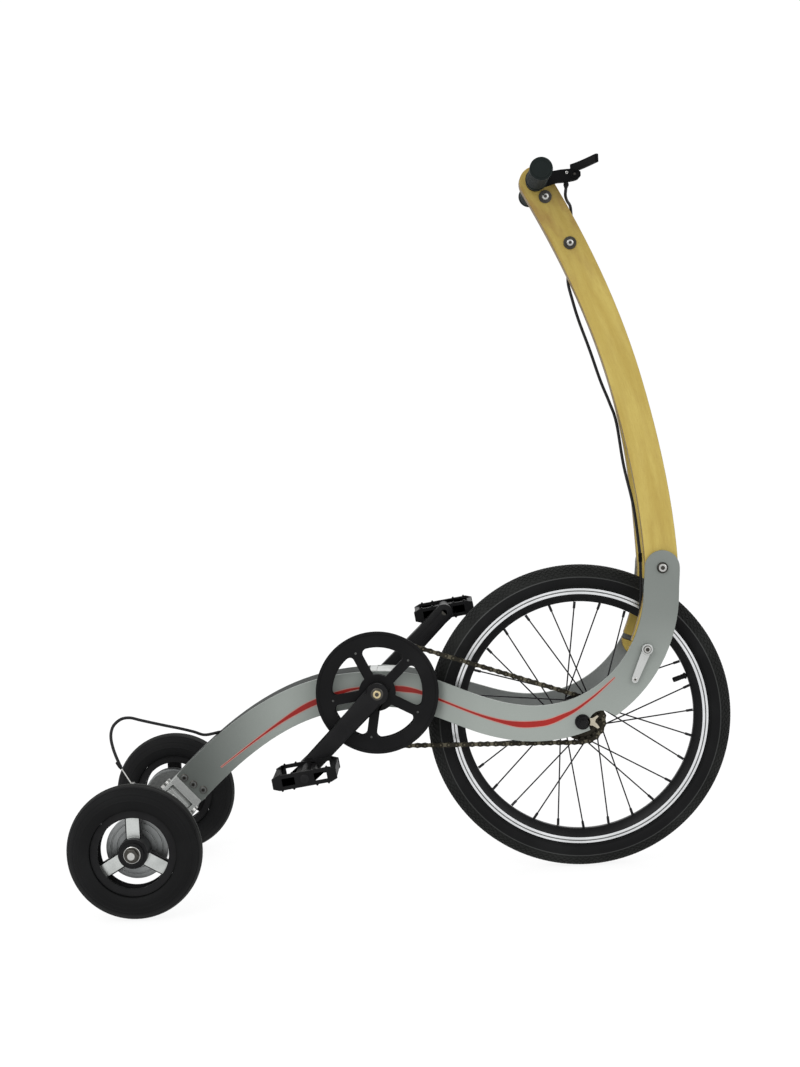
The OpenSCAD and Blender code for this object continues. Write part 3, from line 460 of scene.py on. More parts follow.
def honey_wood():
    """Lacquered bent plywood: long grain on the faces, brown layers on the edges."""
    finish = Finish("honey_wood", Specular_IOR_Level=0.14, Coat_Weight=0.04, Coat_Roughness=0.3)
    grain = finish.add("ShaderNodeAttribute", {"attribute_name": "grain"}, {}, "Vector")
    length, _, depth = finish.parts(grain)
    flame = finish.noise(3, 4, finish.moved(grain, (2, 22, 6)))
    fibre = finish.noise(5, 6, finish.moved(grain, (14, 420, 160)))
    pores = finish.ramp(finish.noise(6, 2, finish.moved(grain, (30, 700, 300))), 0.62, 0.72)
    blotch = finish.ramp(finish.noise(2.4, 3, finish.moved(grain, (7, 26, 8))), 0.45, 0.7)
    top = finish.ramp(length, 0.56, 0.76)
    face = finish.mix(finish.ramp(flame, 0.3, 0.7), rgb(0.445, 0.352, 0.098), rgb(0.375, 0.28, 0.068))
    face = finish.mix(0.35 * finish.ramp(fibre, 0.35, 0.7), face, rgb(0.28, 0.18, 0.038))
    face = finish.mix(0.24 * top, face, rgb(0.1, 0.055, 0.012))
    face = finish.mix(blotch * (0.1 + 0.5 * top), face, rgb(0.22, 0.125, 0.04))
    layer = finish.ramp((depth * (2 * pi / (PLY * MM))).wave(), 0.4, 0.6)
    half = LEG_THICK / 2
    inside = finish.ramp(abs(depth - half * MM), (half - 0.4) * MM, (half - 0.9) * MM)
    edge = finish.mix(layer, rgb(0.08, 0.045, 0.013), rgb(0.2, 0.125, 0.035))
    colour = finish.mix(inside * 0.85, face, edge)
    finish.feed("Base Color", finish.mix(0.3 * pores, colour, rgb(0.14, 0.075, 0.02)))
    finish.feed("Roughness", 0.36 + 0.2 * (fibre - 0.5) + 0.1 * inside + 0.1 * pores)
    finish.relief(fibre - 0.5 * pores, 0.06, 0.4)
    return finish


# The frame paint carries painted shade at the tail and higher up, at strength 0.7.
frame_paint = lacquer(
    "frame_paint", rgb(0.27, 0.294, 0.274), rgb(0.216, 0.237, 0.22), 0.42, 0.15, 0.3, 0.7
)
# Painted shade: a darker grey for the side plates' inner faces, between the plates.
inner_shade_paint = lacquer(
    "inner_shade_paint", rgb(0.195, 0.207, 0.2), rgb(0.158, 0.168, 0.163), 0.55, 0.1, 0.15
)
# Painted shade: the webs between the plates are painted near black.
web_paint = lacquer("web_paint", rgb(0.05, 0.054, 0.052), rgb(0.034, 0.037, 0.036), 0.75, 0.0, 0.06)
red_vinyl = moulded(
    "red_vinyl", rgb(0.3, 0.012, 0.008), rgb(0.22, 0.008, 0.006), 0.36, 900, 0.01, 0.25
)
pale_vinyl = moulded(
    "pale_vinyl", rgb(0.44, 0.22, 0.19), rgb(0.36, 0.18, 0.155), 0.4, 900, 0.01, 0.25
)
tyre_rubber = moulded(
    "tyre_rubber", rgb(0.008, 0.0083, 0.0086), rgb(0.003, 0.0031, 0.0033), 0.6, 700, 0.06, 0.1
)
tread_rubber = moulded(
    "tread_rubber", rgb(0.018, 0.019, 0.018), rgb(0.007, 0.0074, 0.007), 0.7, 700, 0.08, 0.12
)
mould_line = moulded(
    "mould_line", rgb(0.034, 0.036, 0.035), rgb(0.014, 0.015, 0.0145), 0.45, 900, 0.03, 0.3
)
grip_rubber = moulded(
    "grip_rubber", rgb(0.009, 0.0135, 0.013), rgb(0.005, 0.008, 0.0075), 0.68, 1400, 0.05, 0.12
)
black_plastic = moulded(
    "black_plastic", rgb(0.007, 0.007, 0.0075), rgb(0.003, 0.003, 0.0033), 0.46, 1600, 0.04, 0.1
)
matt_black = moulded(
    "matt_black", rgb(0.006, 0.006, 0.0063), rgb(0.003, 0.003, 0.0032), 0.6, 1400, 0.03, 0.04
)
cable_sleeve = moulded(
    "cable_sleeve", rgb(0.008, 0.008, 0.009), rgb(0.0035, 0.0035, 0.004), 0.4, 1200, 0.02, 0.2
)
black_metal = metal(
    "black_metal", rgb(0.008, 0.008, 0.0085), rgb(0.0035, 0.0035, 0.004), 0.4, 1100, 0.03, 0, 0.13
)
cast_aluminium = metal(
    "cast_aluminium", rgb(0.42, 0.43, 0.42), rgb(0.27, 0.28, 0.27), 0.5, 500, 0.12, 0.75
)
drum_casting = metal(
    "drum_casting", rgb(0.15, 0.154, 0.15), rgb(0.075, 0.077, 0.075), 0.46, 500, 0.12
)
aluminium = metal("aluminium", rgb(0.55, 0.56, 0.55), rgb(0.4, 0.41, 0.4), 0.32)
bridge_metal = metal("bridge_metal", rgb(0.4, 0.41, 0.4), rgb(0.3, 0.31, 0.3), 0.45)
spoke_face = metal("spoke_face", rgb(0.58, 0.6, 0.585), rgb(0.38, 0.395, 0.385), 0.36, 700, 0.03)
zinc_steel = metal("zinc_steel", rgb(0.56, 0.56, 0.54), rgb(0.32, 0.32, 0.31), 0.26)
dark_steel = metal("dark_steel", rgb(0.08, 0.076, 0.068), rgb(0.03, 0.028, 0.025), 0.34)
spoke_steel = metal("spoke_steel", rgb(0.03, 0.03, 0.032), rgb(0.012, 0.012, 0.013), 0.35)
chain_plate = metal(
    "chain_plate", rgb(0.034, 0.031, 0.024), rgb(0.014, 0.0125, 0.0095), 0.38, 700, 0.04
)
chain_roller = metal(
    "chain_roller", rgb(0.12, 0.109, 0.078), rgb(0.052, 0.047, 0.033), 0.34, 700, 0.04
)
brass = metal("brass", rgb(0.6, 0.51, 0.31), rgb(0.38, 0.3, 0.155), 0.28)
tab_steel = metal("tab_steel", rgb(0.5, 0.46, 0.37), rgb(0.3, 0.27, 0.2), 0.32)
turned_drum = lathe_marks(
    "turned_drum", REAR, rgb(0.36, 0.37, 0.37), rgb(0.2, 0.21, 0.21), 0.38, 1.1
)
machined_rim = lathe_marks(
    "machined_rim", HUB, rgb(0.78, 0.79, 0.8), rgb(0.58, 0.59, 0.6), 0.28, 0.7
)
wood = honey_wood()



def coat(obj, finish):
    """Give a piece one finish."""
    obj.data.materials.clear()
    obj.data.materials.append(finish.material)


def paint_faces(obj, finish, test):
    """Add a finish to the faces that pass a test of their middle, in millimetres, and normal."""
    obj.data.materials.append(finish.material)
    index = len(obj.data.materials) - 1
    for face in obj.data.polygons:
        if test(face.center / MM, face.normal):
            face.material_index = index


def finished(obj, body, finish=None, angle=35):
    """Shade a new piece, coat it unless its parts already are, and let it ride on a body."""
    alone(obj)
    bpy.ops.object.shade_smooth_by_angle(angle=radians(angle))
    if finish:
        coat(obj, finish)
    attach(obj, body)
    return obj


def dressed(name, node, finish, edge, angle=30, segments=2):
    """A copy of a solid with rounded edges that stands for it."""
    solid = frame["nodes"][node]
    obj = bpy.data.objects.new(name, solid.data.copy())
    bpy.context.scene.collection.objects.link(obj)
    alone(obj)
    bpy.ops.mesh.customdata_custom_splitnormals_clear()
    edit(obj)
    bpy.ops.mesh.remove_doubles(threshold=0.01 * MM)
    bpy.ops.mesh.dissolve_limited(angle_limit=radians(0.5))
    close()
    soften(obj, edge, angle, segments)
    coat(obj, finish)
    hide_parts(node)
    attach(obj, body_of(solid)[0])
    return obj


def finish_solid(node, finish):
    """Give a solid that stays as it is a better finish."""
    solid = frame["nodes"][node]
    if not solid.material_slots:
        solid.data.materials.append(finish.material)
    for place in solid.material_slots:
        place.material = finish.material


def socket_head(name, centre, axis, radius, height, finish, steps=32):
    """Coated head of a socket screw: rounded rim and a well painted dark steel as painted shade."""
    rim = 0.18 * radius
    well = 0.5 * radius
    head = turned(
        name,
        [
            (0, 0), (radius, 0), (radius, height - rim), (radius - 0.3 * rim, height - 0.3 * rim),
            (radius - rim, height), (well, height), (well, 0.45 * height), (0, 0.45 * height)
        ],
        centre,
        axis,
        steps,
    )
    coat(head, finish)
    shaded_well_edge = 1.02 * well
    # Painted shade: the socket's well is painted dark steel.
    paint_faces(head, dark_steel, lambda p, n: (p - centre).cross(axis).length < shaded_well_edge)
    return head


def half_width(x):
    """Half width over the side plates at a place along X."""
    if x < CRANK.x:
        return TAIL_Y + (BEAM_Y - TAIL_Y) * (x - TAIL.x) / (CRANK.x - TAIL.x)
    return BEAM_Y + (FORK_Y - BEAM_Y) * ease((x - CRANK.x - FLARE_AT) / FLARE_LENGTH)


# Frame

VINYL = 0.08

# Middle line of the stripe on a side plate: X, Z and half width

STRIPE = [
    (-312, 193, 0.3), (-262, 229, 0.9), (-212, 263, 2.0), (-176, 284, 3.9), (-149, 296, 4.3),
    (-104, 311, 2.6), (-76, 316, 1.3), (-52, 317, 1.8), (-28, 314, 3.6), (-4, 311, 4.4), (18, 306, 3.0),
    (46, 295, 1.6), (100, 274, 1.5), (149, 257, 2.6), (182, 250, 4.6), (213, 250, 4.5), (231, 253, 4.2),
    (250, 260, 3.5), (270, 269, 2.2), (290, 282, 1.6), (310, 297, 1.1), (337, 320, 0.3)
]


def stripe_ribbon(name, side, margin, lift):
    """A ribbon along the stripe's line, bowed out with the plate."""
    route = smooth_route([Vector(p) for p in STRIPE], 5)
    edges = ([], [])
    for k, p in enumerate(route):
        step = route[min(len(route) - 1, k + 1)] - route[max(0, k - 1)]
        across = Vector((-step.y, step.x)).normalized()
        for edge, sign in zip(edges, (-1, 1)):
            spot = Vector(p[:2]) + sign * (p.z + margin) * across
            edge.append(Vector((spot.x, side * (half_width(spot.x) + lift), spot.y)))
    lower = wire(f"{name}_lower", edges[0])
    close()
    upper = wire(name, edges[1])
    close()
    ribbon = joined(name, [upper, lower])
    edit(ribbon)
    bpy.ops.mesh.bridge_edge_loops()
    close()
    apply(ribbon, "SOLIDIFY", thickness=VINYL * MM, offset=0)
    edit(ribbon)
    tidy_faces()
    close()
    return ribbon


def side_plates():
    """Plates with rounded edges, their red stripes and the screws of the tail channel."""
    for side, sign in SIDES.items():
        plate = dressed(f"side_plate_{side}", f"plate_{side}", frame_paint, 0.8)
        # Painted shade: the inner faces are painted a darker grey.
        paint_faces(plate, inner_shade_paint, lambda p, n: n.y * sign < -0.5)
        pale = stripe_ribbon(f"stripe_edge_{side}", sign, margin=1.3, lift=0.16)
        finished(pale, "frame", pale_vinyl)
        red = stripe_ribbon(f"stripe_{side}", sign, margin=0, lift=0.28)
        finished(red, "frame", red_vinyl)
        screws = []
        out = ACROSS * sign
        for up, lift in ((7, 18), (10, 0), (15.5, -18)):
            spot = TAIL + along(TAIL_ANGLE, up) + along(TAIL_ANGLE + 90, lift)
            spot.y = sign * (half_width(spot.x) - 0.4)
            washer = turned("washer", [(0, 0), (6.4, 0), (6.4, 1), (5.8, 1.4), (0, 1.4)], spot, out, 32)
            coat(washer, dark_steel)
            screws.append(washer)
            screws.append(socket_head("screw", spot + out, out, 5.2, 3.2, drum_casting))
        finished(joined(f"tail_screws_{side}", screws), "frame", None)
    # Painted shade: the webs are painted near black.
    webs = dressed("webs", "beam_webs", web_paint, 0.5)
    bridge_x = CRANK.x - 14
    paint_faces(webs, bridge_metal, lambda p, n: p.x > bridge_x and p.z > CRANK.z)
    finish_solid("bearing_shell", aluminium)


def front_axle():
    """Nuts with turned-down corners, the threaded stub, and the tab washers in the dropouts."""
    dressed("axle_and_nuts", "front_axle", black_metal, 0.8)
    half = 0.8
    for side, sign in SIDES.items():
        washer = turned(
            f"axle_washer_{side}", [(5.3, 0), (12.5, 0), (12.5, 1.6), (5.3, 1.6), (5.3, 0)],
            HUB + ACROSS * sign * FORK_Y, ACROSS * sign, 48
        )
        tab = slab(
            "tab",
            [(HUB.x + x, HUB.z + z) for x, z in (
                (8, -5), (17, -7), (24, -12), (27, -10), (24, -5), (20, -1), (21, 3), (26, 8),
                (24, 10), (17, 6), (8, 5)
            )],
            sign * (FORK_Y + half) - half,
            sign * (FORK_Y + half) + half,
        )
        coat(washer, black_metal)
        coat(tab, tab_steel)
        finished(joined(f"axle_washer_{side}", [washer, tab]), "frame", None)


def mast_fixings():
    """Pivot bolts with domed heads, and the quick releases with their nuts and lever eyes."""
    flange_y = FORK_Y + 4.2
    socket_edge = 5.6
    pivots = []
    for sign in SIDES.values():
        seat = PIVOT + ACROSS * sign * FORK_Y
        pivots.append(turned("shank", [(0, -21), (5, -21), (5, 0.5), (0, 0.5)], seat, ACROSS * sign, 32))
        pivots.append(turned(
            "head",
            [(0, 0), (9, 0), (9, 1.6), (7.6, 3.2), (7.2, 4.4), (6.2, 5), (3.4, 5), (3.2, 2.6), (0, 2.6)],
            seat, ACROSS * sign, 48
        ))
    bolts = finished(joined("pivot_bolt_heads", pivots), "frame", zinc_steel)
    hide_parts("pivot_bolts")
    paint_faces(bolts, dark_steel, lambda p, n: abs(p.y) < flange_y or off_axis(p, PIVOT) > socket_edge)
    levers = dressed("release_levers", "quick_releases", aluminium, 0.9)
    seat_y = FORK_Y + 2
    hub_y = FORK_Y + 8.9
    tip_y = FORK_Y + 6.8
    nut_edge = 5.2
    paint_faces(levers, dark_steel, lambda p, n: abs(p.y) < seat_y)
    for side, sign in SIDES.items():
        nut = socket_head("nut", RELEASE + ACROSS * sign * hub_y, ACROSS * sign, 6.4, 2.6, zinc_steel)
        tip = RELEASE + along(-114, 52.5) + ACROSS * sign * tip_y
        eye = socket_head("eye", tip, ACROSS * sign, 3.6, 1.2, zinc_steel)
        paint_faces(nut, dark_steel, lambda p, n: off_axis(p, RELEASE) > nut_edge)
        finished(joined(f"release_nut_{side}", [nut, eye]), "frame", None)


def truck():
    """Channel, pin, hanger, brake plates and the rear axle's nuts and washers."""
    plate_radius = 47
    nut_y = REAR_Y + 33.5
    arm_y = 177.2
    dressed("tail_channel", "truck_base", cast_aluminium, 0.9)
    finish_solid("lean_pin", zinc_steel)
    dressed("hanger", "truck_hanger", cast_aluminium, 1.4)
    backs = dressed("brake_backs", "brake_plates", drum_casting, 0.6)
    paint_faces(backs, dark_steel, lambda p, n: off_axis(p, REAR) > plate_radius)
    nuts = dressed("rear_axle_nuts", "rear_axle", dark_steel, 0.9)
    paint_faces(nuts, zinc_steel, lambda p, n: abs(p.y) > nut_y)
    clamp = turned(
        "brake_pinch_bolt",
        [
            (0, -4.4), (3.6, -4.4), (4, -4), (4, -0.2), (2.5, 0), (2.5, 4.6), (4.6, 4.6), (4.6, 8.4), (4, 9),
            (2.6, 9), (2.4, 7.4), (0, 7.4)
        ],
        REAR + along(94, 93) - ACROSS * arm_y, -ACROSS, 32
    )
    finished(clamp, "truck", zinc_steel)


def rear_wheels():
    """Ribbed tyres, black wheels with machined spoke faces, and turned drums."""
    ball = 25
    middle = 80.5
    skin = 0.3
    bead = (67.4, 20.6)
    tread_radius = 103
    groove_shade_radius = 44
    washer_y = REAR_Y + 25.1
    washer_edge = 11.4
    front_y = REAR_Y + 5.9
    marks = {-84: 0.5, -62: -0.5, -36: -0.9, -12: -0.9, 12: -0.9, 36: -0.9, 62: -0.5, 84: 0.5}
    start = (bead[0], -bead[1])
    profile = [start]
    for a in range(-120, 121, 3):
        rise = next((marks[m] for m in marks if abs(a - m) < 2), 0)
        swell = ball + rise - skin
        r = middle + swell * cos(radians(a))
        if r > bead[0]:
            profile.append((r, swell * sin(radians(a))))
    profile += [bead, start]
    for side, sign in SIDES.items():
        seat = REAR + ACROSS * sign * REAR_Y
        tyre = turned(f"ribbed_tyre_{side}", profile, seat, ACROSS, 96)
        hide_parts(f"rear_tyre_{side}")
        finished(tyre, f"rear_wheel_{side}", tyre_rubber)
        paint_faces(tyre, tread_rubber, lambda p, n: off_axis(p, REAR) > tread_radius)
        wheel = dressed(f"spoked_wheel_{side}", f"rear_wheel_{side}", black_metal, 0.7)
        paint_faces(wheel, spoke_face, lambda p, n: abs(n.y) > 0.9 and front_y < abs(p.y) < front_y + 1)
        drum = dressed(f"turned_drum_{side}", f"rear_drum_{side}", turned_drum, 0.5)
        # Painted shade: the drum's groove and bore walls inside radius 44 are painted dark steel.
        paint_faces(drum, dark_steel, lambda p, n: abs(n.y) < 0.6 and off_axis(p, REAR) < groove_shade_radius)
        washer = turned(
            f"rear_washer_{side}", [(6.2, 0), (13, 0), (13, 1.4), (12.2, 1.9), (6.2, 1.9), (6.2, 0)],
            REAR + ACROSS * sign * washer_y, ACROSS * sign, 48
        )
        finished(washer, "truck", zinc_steel)
        paint_faces(washer, dark_steel, lambda p, n: off_axis(p, REAR) < washer_edge)


# Front wheel


def front_tyre():
    """Tyre with small tread blocks, a mould line on the shoulder and seated beads."""
    ball = 23.5
    middle = 226.5
    land = ball - 1
    shoulder = 76
    line_at = 82
    tread_radius = 231.5
    line_radii = (229.9, 231.3)
    profile = [(206.6, -11.4), (212.7, -11.4), (212.7, -15.5), (214.3, -18.6)]
    for a in range(-114, 115, 4):
        swell = land if abs(a) < shoulder else ball
        if abs(a) == line_at:
            swell = ball + 0.45
        profile.append((middle + swell * cos(radians(a)), swell * sin(radians(a))))
    profile += [(214.3, 18.6), (212.7, 15.5), (212.7, 11.4), (206.6, 11.4), (206.6, -11.4)]
    pieces = [turned("treaded_tyre", profile, HUB, ACROSS, 160)]
    blocks = 150
    block_size = (6.6 * MM, 3.3 * MM, 1.8 * MM)
    block_lean = 26
    block_sink = 1.05
    for row, a in enumerate(range(-66, 67, 11)):
        lean = radians(block_lean if row % 2 else -block_lean)
        bpy.ops.object.select_all(action="DESELECT")
        bpy.ops.mesh.primitive_cube_add(size=1)
        block = bpy.context.object
        edit(block)
        bpy.ops.transform.resize(value=block_size)
        close()
        out = Matrix.Translation((0, 0, ball - block_sink)) @ Matrix.Rotation(lean, 4, "Z")
        tilt = Matrix.Translation((0, 0, middle)) @ Matrix.Rotation(-radians(a), 4, "X") @ out
        turn = Matrix.Rotation(2 * pi / blocks * (row % 2) / 2, 4, "Y")
        place = Matrix.Translation(HUB) @ turn @ tilt
        place.translation *= MM
        block.data.transform(place)
        ring(block, HUB, blocks)
        pieces.append(block)
    tyre = joined("treaded_tyre", pieces)
    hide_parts("front_tyre")
    finished(tyre, "front_wheel", tyre_rubber)
    paint_faces(tyre, tread_rubber, lambda p, n: off_axis(p, HUB) > tread_radius)
    paint_faces(tyre, mould_line, lambda p, n: line_radii[0] < off_axis(p, HUB) < line_radii[1])


def front_rim():
    """Black rim with a machined brake track, split by a dark groove."""
    track_y = 14.45
    track_radius = 202
    groove_y = 14.9
    half = [
        (189, 4.4), (189.7, 5.5), (200.8, 14.2), (202.2, 15), (206.1, 15), (206.4, 14.5), (207.8, 14.5),
        (208.1, 15), (211.5, 15), (212, 14.5), (212, 12.3), (206.2, 12)
    ]
    profile = half + [(r, -y) for r, y in reversed(half)] + half[:1]
    rim = turned("machined_rim", profile, HUB, ACROSS, 160)
    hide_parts("front_rim")
    finished(rim, "front_wheel", black_metal)

    def on_track(p, n):
        return abs(p.y) > track_y and off_axis(p, HUB) > track_radius

    paint_faces(rim, machined_rim, on_track)
    paint_faces(rim, drum_casting, lambda p, n: on_track(p, n) and abs(p.y) < groove_y)


def front_hub():
    """Hub, sprocket, spokes and the capped valve."""
    dressed("hub_shell", "front_hub", black_metal, 0.6)
    dressed("hub_sprocket", "front_sprocket", chain_plate, 0.25)
    freewheel = turned(
        "freewheel",
        [
            (17, 50.9), (33.4, 50.9), (33.4, 53), (27.4, 53), (26.8, 54), (21, 54), (20.4, 53.2), (18, 53.2),
            (17, 52.8), (17, 50.9)
        ],
        HUB, -ACROSS, 72
    )
    finished(freewheel, "front_wheel", chain_plate)
    finish_solid("front_spokes", spoke_steel)
    valve_radius = 165
    lie = along(18, 1)
    valve = turned(
        "capped_valve",
        [
            (0, 0), (3.2, 0), (3.9, 0.7), (4.2, 2), (4.2, 13), (3.8, 13.6), (3.8, 14.2), (4.2, 14.8),
            (4.2, 19.4), (5.4, 19.6), (5.4, 22.2), (4, 23), (3, 23.6), (0, 23.6)
        ],
        HUB + lie * valve_radius, lie, 32
    )
    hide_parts("front_valve")
    finished(valve, "front_wheel", black_plastic)


# Drive

PITCH = 12.7
RING_TEETH = 44
SPROCKET_TEETH = 18
RING_R = PITCH / (2 * sin(pi / RING_TEETH))
SPROCKET_R = PITCH / (2 * sin(pi / SPROCKET_TEETH))


def chain_joints():
    """Joints of the chain, evenly along its loop round the chainring and the sprocket."""
    way = HUB - CRANK
    span = hypot(way.x, way.z)
    tilt = atan2(way.z, way.x)
    wrap = asin((RING_R - SPROCKET_R) / span)
    run = span * cos(wrap)
    front = SPROCKET_R * (pi - 2 * wrap)
    loop = 2 * run + front + RING_R * (pi + 2 * wrap)
    count = 2 * round(loop / PITCH / 2)
    joints = []
    for k in range(count):
        s = k * loop / count
        top = tilt + pi / 2 - wrap
        low = tilt - pi / 2 + wrap
        if s < run:
            at, r, n, on = CRANK, RING_R, top, s
        elif s < run + front:
            at, r, n, on = HUB, SPROCKET_R, top - (s - run) / SPROCKET_R, 0
        elif s < 2 * run + front:
            at, r, n, on = HUB, SPROCKET_R, low, s - run - front
        else:
            at, r, n, on = CRANK, RING_R, low - (s - 2 * run - front) / RING_R, 0
        joints.append(at + Vector((r * cos(n) + on * sin(n), 0, r * sin(n) - on * cos(n))))
    return joints


def link_plate(name, y0, y1, r):
    """A waisted plate between two joints."""
    ends = [(r * cos(a), r * sin(a)) for a in (radians(d) for d in range(90, 271, 30))]
    waist = 0.7 * r
    outline = ends + [(PITCH / 2, -waist)] + [(PITCH - x, -z) for x, z in ends] + [(PITCH / 2, waist)]
    return slab(name, outline, y0, y1)


def chain():
    """Every link of the chain: outer plates with pins, inner plates with rollers."""
    outer = [link_plate("outer", 2.3, 3.4, 4.1), link_plate("outer", -3.4, -2.3, 4.1)]
    inner = [link_plate("inner", 1.2, 2.2, 4.0), link_plate("inner", -2.2, -1.2, 4.0)]
    for x in (0, PITCH):
        spot = Vector((x, 0, 0))
        outer.append(turned("pin", [(0, -3.8), (1.5, -3.8), (1.5, 3.8), (0, 3.8)], spot, ACROSS, 10))
        inner.append(turned("roller", [(0, -1.2), (3.4, -1.2), (3.4, 1.2), (0, 1.2)], spot, ACROSS, 12))
    links = [joined("outer_link", outer), joined("inner_link", inner)]
    coat(links[0], chain_plate)
    pin_end = 3.7
    paint_faces(links[0], chain_roller, lambda p, n: abs(p.y) > pin_end)
    coat(links[1], chain_roller)
    joints = chain_joints()
    copies = []
    for k, joint in enumerate(joints):
        way = joints[(k + 1) % len(joints)] - joint
        place = Matrix.Translation(joint - ACROSS * CHAIN_Y)
        place = place @ Matrix.Rotation(-atan2(way.z, way.x), 4, "Y")
        copies.append(copied(links[k % 2], place))
    for link in links:
        bpy.data.objects.remove(link)
    loop = joined("linked_chain", copies)
    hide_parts("chain")
    finished(loop, "frame", None, 40)


def cranks():
    """Chainring, guard with its screws, arms with their bolts, pedals with their caps."""
    guard_y = 60.9
    guard_screw_radius = 73
    arm_y = 76.8
    cap_y = 190.9
    finish_solid("crank_spindle", dark_steel)
    dressed("toothed_ring", "chainring", black_metal, 0.25)
    dressed("guard", "chain_guard", black_plastic, 0.7)
    screws = []
    for k in range(5):
        a = CRANK_ANGLE + radians(36 + 72 * k)
        spot = CRANK + Vector((guard_screw_radius * cos(a), -guard_y, guard_screw_radius * sin(a)))
        screws.append(socket_head("guard_screw", spot, -ACROSS, 1.8, 1.2, drum_casting, 20))
    finished(joined("guard_screws", screws), "crank", None)
    for side, sign in SIDES.items():
        dressed(f"crank_arm_{side}", f"crank_{side}", black_metal, 1.4)
        out = ACROSS * sign
        seat = CRANK + out * arm_y
        washer = turned(
            f"crank_washer_{side}", [(0, 0), (10, 0), (10, 0.9), (9.2, 1.4), (0, 1.4)], seat, out, 48
        )
        finished(washer, "crank", dark_steel)
        bolt = socket_head(f"crank_bolt_{side}", seat + out * 1.2, out, 6.6, 4, brass)
        finished(bolt, "crank", None)
        finish_solid(f"pedal_axle_{side}", dark_steel)
        dressed(f"cage_pedal_{side}", f"pedal_{side}", black_plastic, 0.6)
        turn = CRANK_ANGLE + (pi if sign > 0 else 0)
        cap = turned(
            f"pedal_cap_{side}",
            [(0, 0), (7, 0), (7, 0.6), (6, 1.2), (2.2, 1.2), (2, 0.8), (0, 0.8)],
            CRANK + Vector((CRANK_LENGTH * cos(turn), sign * cap_y, CRANK_LENGTH * sin(turn))), out, 40
        )
        finished(cap, f"pedal_{side}", black_metal)


# Mast


def leg_middle():
    """Middle line of a leg, from its foot to the handlebar."""
    foot = (RELEASE, RELEASE + along(68, 42), PIVOT - along(92, 42), PIVOT)
    long = (PIVOT, PIVOT + along(92, 240), BAR - along(118.7, 240), BAR)
    return [cubic(foot, i / 12) for i in range(12)] + [cubic(long, i / 60) for i in range(61)]


def legs():
    """Wooden legs; an attribute carries the way along the grain, across it and through the layers."""
    foot_y = 65.7
    top_y = 15.1
    bend_at = 502
    bend_height = 292
    line = leg_middle()
    lengths = [0]
    for here, there in zip(line, line[1:]):
        lengths.append(lengths[-1] + (there - here).length)
    for side in SIDES:
        leg = dressed(f"wooden_leg_{side}", f"leg_{side}", wood, 1.6, 30, 3)
        grain = leg.data.attributes.new("grain", "FLOAT_VECTOR", "POINT")
        for vertex, value in zip(leg.data.vertices, grain.data):
            spot = vertex.co / MM
            flat = Vector((spot.x, 0, spot.z))
            k = min(range(len(line) - 1), key=lambda i: (line[i] - flat).length)
            way = (line[k + 1] - line[k]).normalized()
            off = flat - line[k]
            out = foot_y + (top_y - foot_y) * ease((spot.z - bend_at) / bend_height)
            sideways = off.x * -way.z + off.z * way.x
            value.vector = Vector((lengths[k] + off.dot(way), sideways, out - abs(spot.y))) * MM


def handlebar():
    """Bar, ringed grips with end plugs, and the mast bolts with washers."""
    grip_end = 174
    washer_y = 17.2
    head_y = 20.9
    finish_solid("handlebar", aluminium)
    for side, sign in SIDES.items():
        dressed(f"ringed_grip_{side}", f"grip_{side}", grip_rubber, 0.9)
        plug = turned(
            f"grip_plug_{side}",
            [(0, -0.4), (14.2, -0.4), (14.6, 0.4), (13.8, 1), (12.6, 0.9), (11.8, 0.3), (4, 0.1), (0, 0.1)],
            BAR + ACROSS * sign * grip_end, ACROSS * sign, 56
        )
        finished(plug, "mast", grip_rubber)
    bolts = dressed("mast_bolt_washers", "mast_bolts", dark_steel, 0.5)
    paint_faces(bolts, zinc_steel, lambda p, n: abs(p.y) > washer_y)
    heads = []
    for x, z in ((15, -24), (52, -100)):
        for sign in SIDES.values():
            seat = BAR + Vector((x, sign * head_y, z))
            heads.append(socket_head("mast_bolt_head", seat, ACROSS * sign, 5, 1.4, zinc_steel, 24))
    finished(joined("mast_bolt_heads", heads), "mast", None)


def brake_lever():
    """Lever with its clamp screw, pivot screw and barrel adjuster."""
    dressed("lever_and_clamp", "brake_lever", matt_black, 1.0, 35, 3)
    screws = []
    for x, z, y, r, finish in ((62, 7, -41.0, 4.2, matt_black), (49.5, 10, -38.5, 2.4, zinc_steel)):
        screws.append(socket_head("lever_screw", BAR + Vector((x, y, z)), -ACROSS, r, 1.8, finish, 24))
    finished(joined("lever_screws", screws), "mast", None)
    way = Vector((-1, 2, -8.8)).normalized()
    adjuster = turned(
        "barrel_adjuster",
        [
            (0, 0), (3.4, 0), (3.4, 2), (4.4, 2.4), (4.4, 4), (3.9, 4.3), (4.4, 4.6), (4.4, 6.4), (3.6, 7),
            (3.3, 9), (2.7, 9.4), (0, 9.4)
        ],
        BAR + Vector((49, -31, -3.8)), way, 24
    )
    finished(adjuster, "mast", black_metal)


# Cables, from the front hub, and behind from the floor under the rear axle

